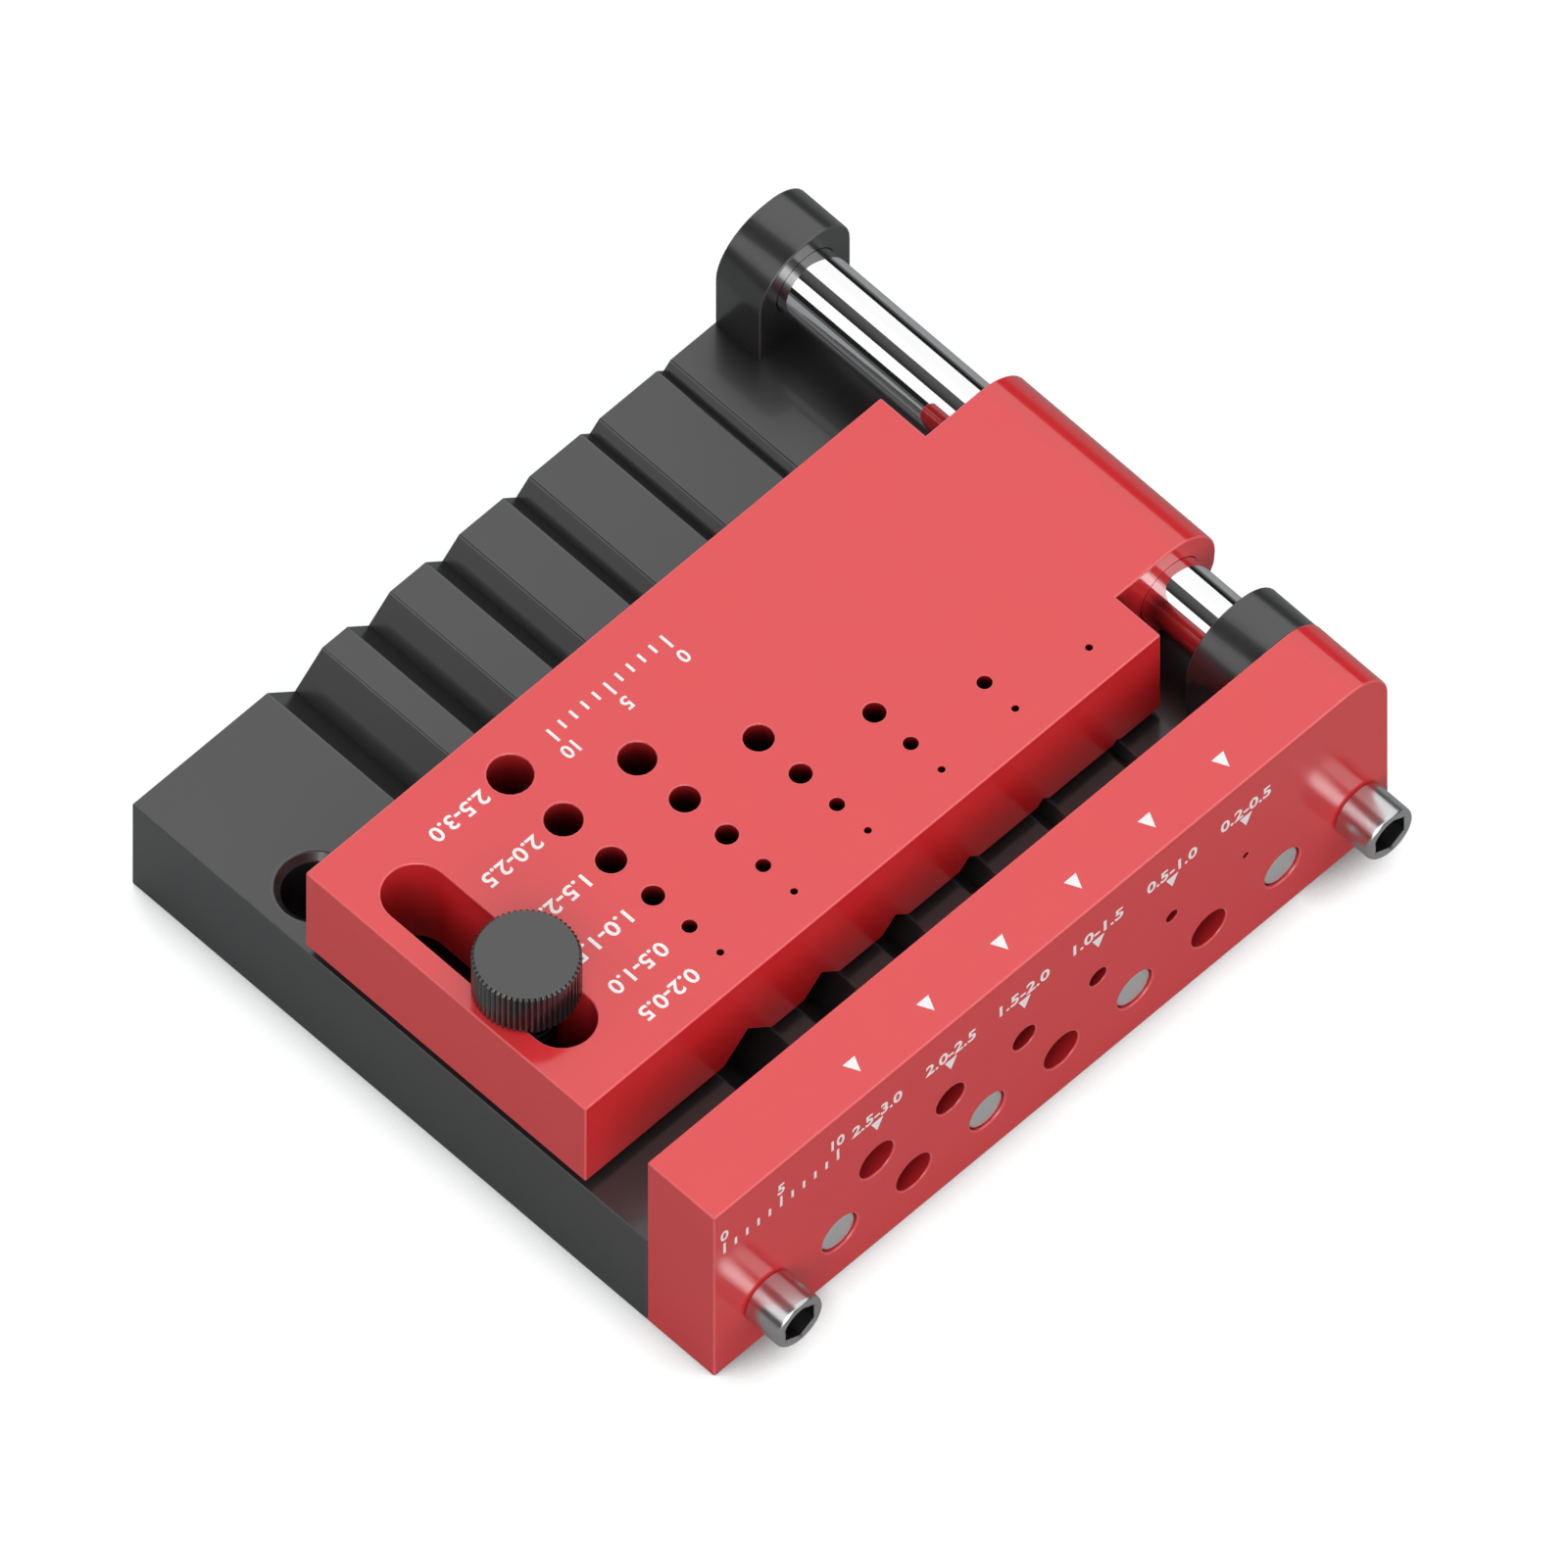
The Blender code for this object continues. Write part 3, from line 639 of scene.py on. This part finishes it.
# Marks on the end block: screen printed in white, baked into the red skin.
# A triangle points to each guide hole from the top and from the front, beside its rod sizes.
# A short millimetre rule stands at the free end.
INK = 0.016 * MM
INK_ROOT = 0.006 * MM
INK_WHITE = (0.95, 0.94, 0.93, 1.0)
INK_SHEEN = {"Specular_IOR_Level": 0.4}
INK_LOOK = {"Cloud": 0.08, "Corners": 0.0, "Gloss": 0.45, "Gloss_Spread": 0.1, "Relief": 0.0004 * MM}
SIZES = ("2.5-3.0", "2.0-2.5", "1.5-2.0", "1.0-1.5", "0.5-1.0", "0.2-0.5")
GROOVE_FIRST = cad_low.x + 14.35 * MM
GROOVE_STEP = 6.5 * MM
ARROW_WIDTH = 1.05 * MM
ARROW_HEIGHT = 1.1 * MM
TOP_ARROW_INSET = 2.0 * MM
FRONT_ARROW_Z = 13.4 * MM
FRONT_SIZE_Z = 14.7 * MM
SIZE_HEIGHT = 1.1 * MM
SIZE_LENGTH = 4.4 * MM
RULE_TICKS = 11
RULE_STEP = 1.0 * MM
LONG_EVERY = 5
TICK_WIDTH = 0.2 * MM
TICK_HEIGHT = 0.75 * MM
LONG_TICK = 1.15 * MM
RULE_NUMBERS = ("0", "5", "10")
FRONT_RULE_START = 0.9 * MM
FRONT_RULE_Z = 13.2 * MM
FRONT_NUMBER_Z = 15.2 * MM
NUMBER_HEIGHT = 1.05 * MM
FONT_SIZE = 10 * MM
FONT_STEPS = 3
BOLD = 0.018
FRONT_READ = ((1, 0, 0), (0, 0, 1))
TOP_READ = ((1, 0, 0), (0, 1, 0))

ink_finish, ink_shader = new_finish("white_ink", **INK_SHEEN)
dress(ink_finish, ink_shader, SKIN, Colour=INK_WHITE, **INK_LOOK)


def on_face(place, along, up):
    """The matrix that lays a mark on a face, reading along one way with its top towards another."""
    along, up = Vector(along), Vector(up)
    turn = Matrix((along, up, along.cross(up))).transposed().to_4x4()
    return Matrix.Translation(place) @ turn


def flat_mark(name, outline):
    """A thin printed shape, rooted a little way into its face."""
    bm = bmesh.new()
    low = [bm.verts.new((x, y, -INK_ROOT)) for x, y in outline]
    high = [bm.verts.new((x, y, INK)) for x, y in outline]
    bm.faces.new(list(reversed(low)))
    bm.faces.new(high)
    for i in range(len(outline)):
        j = (i + 1) % len(outline)
        bm.faces.new((low[i], low[j], high[j], high[i]))
    mesh = bpy.data.meshes.new(name)
    bm.to_mesh(mesh)
    bm.free()
    return mesh


def arrow(name):
    """A triangle that points down from its own middle."""
    half = ARROW_WIDTH / 2
    return flat_mark(name, [(-half, ARROW_HEIGHT / 2), (0, -ARROW_HEIGHT / 2), (half, ARROW_HEIGHT / 2)])


def tick(name, height):
    """A short stroke of the rule, standing on its foot."""
    half = TICK_WIDTH / 2
    return flat_mark(name, [(-half, 0), (half, 0), (half, height), (-half, height)])


def lettering(text, height, length=None):
    """A printed number centred on its own middle, with a given digit height and, if asked, length."""
    font = bpy.data.curves.new("number", "FONT")
    font.body = text
    font.align_x = "CENTER"
    font.align_y = "CENTER"
    font.extrude = (INK + INK_ROOT) / 2
    font.resolution_u = FONT_STEPS
    font.size = FONT_SIZE
    font.offset = FONT_SIZE * BOLD
    shape = link("number", font)
    graph = bpy.context.evaluated_depsgraph_get()
    mesh = bpy.data.meshes.new_from_object(shape.evaluated_get(graph))
    bpy.data.objects.remove(shape)
    spans = [[vert.co[axis] for vert in mesh.vertices] for axis in (0, 1)]
    wide, tall = (max(span) - min(span) for span in spans)
    middle = Vector([-(max(span) + min(span)) / 2 for span in spans] + [(INK - INK_ROOT) / 2])
    tall_scale = height / tall
    wide_scale = length / wide if length else tall_scale
    mesh.transform(Matrix.Diagonal((wide_scale, tall_scale, 1, 1)) @ Matrix.Translation(middle))
    return mesh


def printed(name, marks):
    """Join several laid out marks into one piece of white ink."""
    bm = bmesh.new()
    for mesh, matrix in marks:
        mesh.transform(matrix)
        bm.from_mesh(mesh)
    bmesh.ops.remove_doubles(bm, verts=bm.verts, dist=WELD)
    bmesh.ops.recalc_face_normals(bm, faces=bm.faces)
    joined = bpy.data.meshes.new(name)
    bm.to_mesh(joined)
    bm.free()
    joined.materials.append(ink_finish)
    return link(name, joined)


def print_row(name, mesh, matrix, **values):
    """Lay a mark on a face and repeat it along a row."""
    mesh.transform(matrix)
    return run_tree(name, mesh, ROW, Finish=ink_finish, **values)


def print_rule(name, matrix, first, along, up):
    """The ticks of a short rule, each fifth one longer."""
    stretch = [1 + abs(part) * (LONG_TICK / TICK_HEIGHT - 1) for part in up]
    return print_row(
        name,
        tick("tick", TICK_HEIGHT),
        matrix,
        First=first,
        Step=Vector(along) * RULE_STEP,
        Count=RULE_TICKS,
        Stretch=stretch,
        Stretch_Every=LONG_EVERY,
    )


front_flat = on_face((0, 0, 0), *FRONT_READ)
top_flat = on_face((0, 0, 0), *TOP_READ)
front_rule_x = cad_low.x + FRONT_RULE_START
block_marks = [
    print_row(
        "top_arrows",
        arrow("top_arrow"),
        top_flat,
        First=(GROOVE_FIRST, block_low.y + TOP_ARROW_INSET, block_high.z),
        Step=(GROOVE_STEP, 0.0, 0.0),
        Count=len(SIZES),
    ),
    print_row(
        "front_arrows",
        arrow("front_arrow"),
        front_flat,
        First=(GROOVE_FIRST, block_low.y, FRONT_ARROW_Z),
        Step=(GROOVE_STEP, 0.0, 0.0),
        Count=len(SIZES),
    ),
    print_rule("front_rule", front_flat, (front_rule_x, block_low.y, FRONT_RULE_Z), *FRONT_READ),
]
front_numbers = []
for i, size in enumerate(SIZES):
    spot = (GROOVE_FIRST + GROOVE_STEP * i, block_low.y, FRONT_SIZE_Z)
    front_numbers.append((lettering(size, SIZE_HEIGHT, SIZE_LENGTH), on_face(spot, *FRONT_READ)))
for i, number in enumerate(RULE_NUMBERS):
    spot = (front_rule_x + LONG_EVERY * RULE_STEP * i, block_low.y, FRONT_NUMBER_Z)
    front_numbers.append((lettering(number, NUMBER_HEIGHT), on_face(spot, *FRONT_READ)))
block_marks.append(printed("front_numbers", front_numbers))
for mark in block_marks:
    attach(mark, "base")

# Hinge shaft: a ground and polished steel rod that lies in both lugs and carries the plate.
# Its ends are chamfered, and its surface is close to a mirror.
SHAFT_CHAMFER = 0.3 * MM
SHAFT_STEPS = 128
SHAFT_STEEL = (0.86, 0.86, 0.87, 1.0)
SHAFT_LOOK = {"Stain": 0.04, "Gloss": 0.02, "Gloss_Spread": 0.05, "Relief": 0.00006 * MM}

shaft_length = shaft_high.y - shaft_low.y
shaft_mesh = turned("shaft", chamfered_rod(shaft_radius, shaft_length, SHAFT_CHAMFER), SHAFT_STEPS)
shaft_mesh.transform(Matrix.Translation((shaft_middle.x, shaft_low.y, shaft_middle.z)) @ TO_FRONT)
shaft_finish = turned_metal("polished_steel", SHAFT_STEEL, (0, 1, 0), **SHAFT_LOOK)
shaft = link("polished_shaft", shaft_mesh)
shaft.data.materials.append(shaft_finish)
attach(shaft, "shaft")
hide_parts("hinge_shaft")

# Drill plate: a thick red anodised plate with a hinge barrel, a long slot and a triangle of drill holes.
# Its notches press the rods into the grooves while they are drilled from above.
plate_low, plate_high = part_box("clamp_plate")
plate_middle = (plate_low.z + plate_high.z) / 2


def in_notch(edge):
    """Whether an edge lies in a bore, a notch of the underside or where drills leave it: all stay crisp."""
    spots = [vert.co * MM for vert in edge.verts]
    sides = ((0, plate_low.x), (1, plate_low.y), (1, plate_high.y))
    on_side = any(all(abs(spot[axis] - place) < BORE_ROOM for spot in spots) for axis, place in sides)
    below = all(spot.z < plate_middle for spot in spots)
    return in_bore(edge) or (below and not on_side)


plate = deburred("drill_plate", "clamp_plate", (red_finish, red_edges), in_notch)
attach(plate, "plate")
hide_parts("clamp_plate")

# Marks on the plate: the same white ink, laid to be read from the hinged back of the jig.
# The rod sizes stand beside the first hole of each row, and a short rule lies near the back edge.
HOLE_DIAMETERS = (3.0 * MM, 2.5 * MM, 2.0 * MM, 1.5 * MM, 1.0 * MM, 0.5 * MM)
HOLE_MARGIN = 2.25 * MM
HOLE_WEB = 2.0 * MM
PLATE_SIZE_X = cad_low.x + 9.85 * MM
PLATE_SIZE_LENGTH = 4.75 * MM
PLATE_SIZE_HEIGHT = 1.15 * MM
PLATE_RULE_START = 28.3 * MM
PLATE_RULE_INSET = 3.0 * MM
PLATE_NUMBER_INSET = 5.1 * MM
PLATE_READ = ((-1, 0, 0), (0, -1, 0))

plate_flat = on_face((0, 0, 0), *PLATE_READ)
plate_numbers = []
row_y = plate_high.y - HOLE_MARGIN
for size, diameter in zip(SIZES, HOLE_DIAMETERS):
    spot = (PLATE_SIZE_X, row_y - diameter / 2, plate_high.z)
    number = lettering(size, PLATE_SIZE_HEIGHT, PLATE_SIZE_LENGTH)
    plate_numbers.append((number, on_face(spot, *PLATE_READ)))
    row_y -= diameter + HOLE_WEB
plate_rule_x = cad_low.x + PLATE_RULE_START
for i, number in enumerate(RULE_NUMBERS):
    spot = (plate_rule_x - LONG_EVERY * RULE_STEP * i, plate_high.y - PLATE_NUMBER_INSET, plate_high.z)
    plate_numbers.append((lettering(number, NUMBER_HEIGHT), on_face(spot, *PLATE_READ)))
rule_first = (plate_rule_x, plate_high.y - PLATE_RULE_INSET, plate_high.z)
plate_marks = [
    printed("plate_numbers", plate_numbers),
    print_rule("plate_rule", plate_flat, rule_first, *PLATE_READ),
]
for mark in plate_marks:
    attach(mark, "plate")

# Thumbscrew: a black knurled knob pressed onto a threaded steel stud.
# The stud passes through the slot in the plate into one of two tapped holes in the base.
KNOB_DROP = 0.12 * MM
KNURL_RIDGES = 56
KNURL_DEPTH = 0.2 * MM
KNURL_SAMPLES = 8
CREST = 0.35
KNOB_BLACK = (0.020, 0.020, 0.021, 1.0)
KNOB_GLOSS = 0.20
KNOB_SOCKET_DEPTH = 2.25 * MM
KNOB_CLEAR = 0.03 * MM
THREAD_PITCH = 0.7 * MM
THREAD_DEPTH = 0.38 * MM
THREAD_STEPS = 48
THREAD_SAMPLES = 10
STUD_TIP = 0.4 * MM
STUD_STEEL = (0.020, 0.020, 0.021, 1.0)
STUD_LOOK = {"Gloss": 0.4, "Relief": 0.0003 * MM}


def rolled_ridges():
    """Geometry group: presses a knurl, or a thread if it turns, into the side of a turned piece."""
    tree, given, made = new_group(
        "rolled_ridges",
        "GeometryNodeTree",
        {
            "Piece": "Geometry",
            "Ridges": "Float",
            "Turns per Metre": "Float",
            "Depth": "Float",
            "Core": "Float",
            "Low": "Float",
            "High": "Float",
            "Runout": "Float",
            "Finish": "Material",
        },
        {"Piece": "Geometry"},
    )

    def maths(operation, *values):
        """The output of a new sum of numbers and other outputs."""
        node = add(tree, "ShaderNodeMath", operation=operation)
        for socket, value in zip(node.inputs, values):
            if hasattr(value, "links"):
                tree.links.new(value, socket)
            else:
                socket.default_value = value
        return node.outputs[0]

    spot = add(tree, "GeometryNodeInputPosition")
    split = add(tree, "ShaderNodeSeparateXYZ")
    tree.links.new(spot.outputs[0], split.inputs[0])
    x, y, z = split.outputs
    radius = maths("SQRT", maths("ADD", maths("MULTIPLY", x, x), maths("MULTIPLY", y, y)))
    turns = maths("DIVIDE", maths("ARCTAN2", y, x), 2 * math.pi)
    round_part = maths("MULTIPLY", turns, given.outputs["Ridges"])
    phase = maths("ADD", round_part, maths("MULTIPLY", z, given.outputs["Turns per Metre"]))
    wave = maths("MULTIPLY", maths("PINGPONG", phase, 0.5), 2.0)
    valley = maths("MAXIMUM", maths("DIVIDE", maths("SUBTRACT", wave, CREST), 1 - CREST), 0.0)
    from_low = maths("DIVIDE", maths("SUBTRACT", z, given.outputs["Low"]), given.outputs["Runout"])
    from_high = maths("DIVIDE", maths("SUBTRACT", given.outputs["High"], z), given.outputs["Runout"])
    share = maths("MINIMUM", maths("MAXIMUM", maths("MINIMUM", from_low, from_high), 0.0), 1.0)
    outer = maths("GREATER_THAN", radius, given.outputs["Core"])
    deepest = maths("MULTIPLY", outer, given.outputs["Depth"])
    press = maths("MULTIPLY", maths("MULTIPLY", valley, share), deepest)
    ratio = maths("DIVIDE", press, maths("MAXIMUM", radius, WELD))
    inward = add(tree, "ShaderNodeCombineXYZ")
    tree.links.new(maths("MULTIPLY", maths("MULTIPLY", x, ratio), -1.0), inward.inputs[0])
    tree.links.new(maths("MULTIPLY", maths("MULTIPLY", y, ratio), -1.0), inward.inputs[1])
    move = add(tree, "GeometryNodeSetPosition")
    real = add(tree, "GeometryNodeRealizeInstances")
    paint = add(tree, "GeometryNodeSetMaterial")
    tree.links.new(given.outputs["Piece"], move.inputs["Geometry"])
    tree.links.new(inward.outputs[0], move.inputs["Offset"])
    tree.links.new(move.outputs[0], real.inputs[0])
    tree.links.new(real.outputs[0], paint.inputs["Geometry"])
    tree.links.new(given.outputs["Finish"], paint.inputs["Material"])
    tree.links.new(paint.outputs[0], made.inputs["Piece"])
    return tree


RIDGES = rolled_ridges()
knob_low, knob_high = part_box("thumbscrew_knob")
stud_low, stud_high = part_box("thumbscrew_stud")
knob_radius = (knob_high.x - knob_low.x) / 2
knob_height = knob_high.z - knob_low.z
stud_radius = (stud_high.x - stud_low.x) / 2
knob_foot = Vector(((knob_low.x + knob_high.x) / 2, (knob_low.y + knob_high.y) / 2, knob_low.z))

knob_rim = knob_radius - KNURL_DEPTH
knob_rows = round_rows(
    (0, KNOB_SOCKET_DEPTH),
    (stud_radius, KNOB_SOCKET_DEPTH),
    (stud_radius, KNOB_CLEAR),
    (knob_rim, KNOB_CLEAR),
    (knob_radius, KNOB_CLEAR + KNOB_DROP),
    (knob_radius, knob_height - KNOB_DROP),
    (knob_rim, knob_height),
    (0, knob_height),
)
knob = run_tree(
    "knurled_knob",
    turned("knob", knob_rows, KNURL_RIDGES * KNURL_SAMPLES),
    RIDGES,
    Ridges=float(KNURL_RIDGES),
    Depth=KNURL_DEPTH,
    Core=knob_rim + WELD,
    Low=KNOB_CLEAR,
    High=knob_height,
    Runout=KNOB_DROP,
    Finish=black_skin("knob_anodised", KNOB_BLACK, KNOB_GLOSS),
)
knob.data.set_sharp_from_angle(angle=SHARP)
knob.data.transform(Matrix.Translation(knob_foot))
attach(knob, "knob")
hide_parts("thumbscrew_knob")

stud_bottom = stud_low.z - knob_low.z
stud_top = stud_high.z - knob_low.z
thread_length = stud_top - stud_bottom - STUD_TIP
thread_rows = round(THREAD_SAMPLES * thread_length / THREAD_PITCH)
stud_rows = round_rows((0, stud_bottom), (stud_radius - STUD_TIP, stud_bottom))
for i in range(thread_rows + 1):
    stud_rows += round_rows((stud_radius, stud_bottom + STUD_TIP + thread_length * i / thread_rows))
stud_rows += round_rows((0, stud_top))
stud_finish = turned_metal("dark_steel", STUD_STEEL, (0, 0, 1), **STUD_LOOK)
stud = run_tree(
    "threaded_stud",
    turned("stud", stud_rows, THREAD_STEPS),
    RIDGES,
    Ridges=1.0,
    Turns_per_Metre=1 / THREAD_PITCH,
    Depth=THREAD_DEPTH,
    Core=stud_radius - THREAD_DEPTH,
    Low=stud_bottom + STUD_TIP,
    High=0.0,
    Runout=THREAD_PITCH,
    Finish=stud_finish,
)
stud.data.transform(Matrix.Translation(knob_foot))
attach(stud, "stud")
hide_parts("thumbscrew_stud")

# Stage: a pale sweep with a raised rim, two long soft boxes beside the jig and a smaller one in front.
# The sweep shows white to the camera, with the jig's soft shadow and a tighter painted shadow where they
# touch.
# The room is dim, so that polished steel shows dark stripes, and white below the floor.
SWEEP_ROWS = ((0, 0), (2.6, 0), (2.85, 0.05), (2.95, 0.15), (3.0, 0.4))
SWEEP_STEPS = 48
SWEEP_DROP = 0.01 * MM
SWEEP_PALE = (0.265, 0.28, 0.28, 1.0)
SWEEP_WHITE = (0.25, 0.26, 0.26, 1.0)
SWEEP_LIFT = 0.85
# The tighter shadow is painted: ambient occlusion within this reach dims the glow the camera sees near the
# jig.
CONTACT_REACH = 5 * MM
CONTACT_DARK = 0.25
CONTACT_CLEAR = 0.72
GLOSSY_SHARE = 0.08
ROOM_WHITE = (1.0, 1.0, 1.0, 1.0)
ROOM_LOW = 0.015
ROOM_HIGH = 0.13
CEILING_START = 0.75
CEILING_END = 1.0
# Each soft box: name, swing, lean and pitch, distance, half its angle of width, length, radiance.
SOFT_BOXES = (
    ("left_soft_box", 0.0, -48.0, 0.0, 0.9, 17.0, 4.0, 1.18),
    ("right_soft_box", 0.0, 35.0, 0.0, 0.9, 32.0, 4.0, 1.13),
    ("front_soft_box", -38.0, 0.0, 57.0, 1.2, 24.6, 1.1, 2.2),
)

sweep_rows = round_rows(*((radius, height - SWEEP_DROP) for radius, height in SWEEP_ROWS))
sweep_mesh = turned("sweep", sweep_rows, SWEEP_STEPS)
sweep_mesh.flip_normals()
floor = link("floor", sweep_mesh)
floor_finish = bpy.data.materials.new("pale_floor")
floor_finish.use_nodes = True
tree = floor_finish.node_tree
tree.nodes.clear()
pale = add(tree, "ShaderNodeBsdfDiffuse", Color=SWEEP_PALE)
white = add(tree, "ShaderNodeBsdfDiffuse", Color=SWEEP_WHITE)
lift = add(tree, "ShaderNodeEmission")
# Painted shadow: ambient occlusion dims the floor's glow where the jig stands close above it.
contact = add(tree, "ShaderNodeAmbientOcclusion", samples=SKY_SAMPLES, Distance=CONTACT_REACH)
clear = add(tree, "ShaderNodeMapRange", interpolation_type="SMOOTHSTEP", To_Max=SWEEP_LIFT)
clear.inputs["From Min"].default_value = CONTACT_DARK
clear.inputs["From Max"].default_value = CONTACT_CLEAR
bright = add(tree, "ShaderNodeAddShader")
rays = add(tree, "ShaderNodeLightPath")
seen = add(tree, "ShaderNodeMath", operation="MAXIMUM")
share = add(tree, "ShaderNodeMath", operation="MULTIPLY_ADD", use_clamp=True)
share.inputs[1].default_value = GLOSSY_SHARE
mix = add(tree, "ShaderNodeMixShader")
out = add(tree, "ShaderNodeOutputMaterial")
tree.links.new(contact.outputs["AO"], clear.inputs["Value"])
tree.links.new(clear.outputs[0], lift.inputs["Strength"])
tree.links.new(rays.outputs["Is Camera Ray"], seen.inputs[0])
tree.links.new(rays.outputs["Is Transmission Ray"], seen.inputs[1])
tree.links.new(rays.outputs["Is Glossy Ray"], share.inputs[0])
tree.links.new(seen.outputs[0], share.inputs[2])
tree.links.new(share.outputs[0], mix.inputs[0])
tree.links.new(white.outputs[0], bright.inputs[0])
tree.links.new(lift.outputs[0], bright.inputs[1])
tree.links.new(pale.outputs[0], mix.inputs[1])
tree.links.new(bright.outputs[0], mix.inputs[2])
tree.links.new(mix.outputs[0], out.inputs["Surface"])
floor.data.materials.append(floor_finish)

for name, swing, lean, pitch, distance, half, length, radiance in SOFT_BOXES:
    width = 2 * distance * math.tan(math.radians(half))
    lamp = bpy.data.lights.new(name, "AREA")
    lamp.shape = "RECTANGLE"
    lamp.size = width
    lamp.size_y = length
    lamp.energy = radiance * math.pi * width * length
    box = link(name, lamp)
    turn = Matrix.Rotation(math.radians(swing), 4, "Z")
    turn @= Matrix.Rotation(math.radians(lean), 4, "Y") @ Matrix.Rotation(math.radians(pitch), 4, "X")
    box.matrix_world = turn @ Matrix.Translation((0, 0, distance))
    box.visible_camera = False

world = bpy.data.worlds.new("dim_room")
bpy.context.scene.world = world
world.use_nodes = True
tree = world.node_tree
room = tree.nodes["Background"]
room.inputs["Color"].default_value = ROOM_WHITE
ways = add(tree, "ShaderNodeTexCoord")
parts = add(tree, "ShaderNodeSeparateXYZ")
above = add(tree, "ShaderNodeMapRange", interpolation_type="SMOOTHSTEP", To_Min=ROOM_LOW, To_Max=ROOM_HIGH)
above.inputs["From Min"].default_value = CEILING_START
above.inputs["From Max"].default_value = CEILING_END
below = add(tree, "ShaderNodeMath", operation="LESS_THAN")
below.inputs[1].default_value = 0.0
either = add(tree, "ShaderNodeMath", operation="MAXIMUM")
tree.links.new(ways.outputs["Generated"], parts.inputs[0])
tree.links.new(parts.outputs["Z"], above.inputs["Value"])
tree.links.new(parts.outputs["Z"], below.inputs[0])
tree.links.new(above.outputs[0], either.inputs[0])
tree.links.new(below.outputs[0], either.inputs[1])
tree.links.new(either.outputs[0], room.inputs["Strength"])

# Camera: a view without perspective from above the free front corner, as in a catalogue picture.
# Its direction comes from the jig's three sets of parallel edges, its span from the sizes of the holes.
VIEW_AZIMUTH = math.radians(-44.63)
VIEW_HEIGHT = math.radians(56.85)
VIEW_SPAN = 98.34 * MM
VIEW_CENTRE = Vector((4.60 * MM, 2.52 * MM, 0))
VIEW_DISTANCE = 0.6

lens = bpy.data.cameras.new("camera")
lens.type = "ORTHO"
lens.ortho_scale = VIEW_SPAN
camera = link("camera", lens)
level = math.cos(VIEW_HEIGHT)
away = (math.sin(VIEW_AZIMUTH) * level, -math.cos(VIEW_AZIMUTH) * level, math.sin(VIEW_HEIGHT))
back = Vector(away)
camera.location = VIEW_CENTRE + back * VIEW_DISTANCE
camera.rotation_euler = back.to_track_quat("Z", "Y").to_euler()
bpy.context.scene.camera = camera
bpy.context.scene.view_settings.view_transform = "Standard"
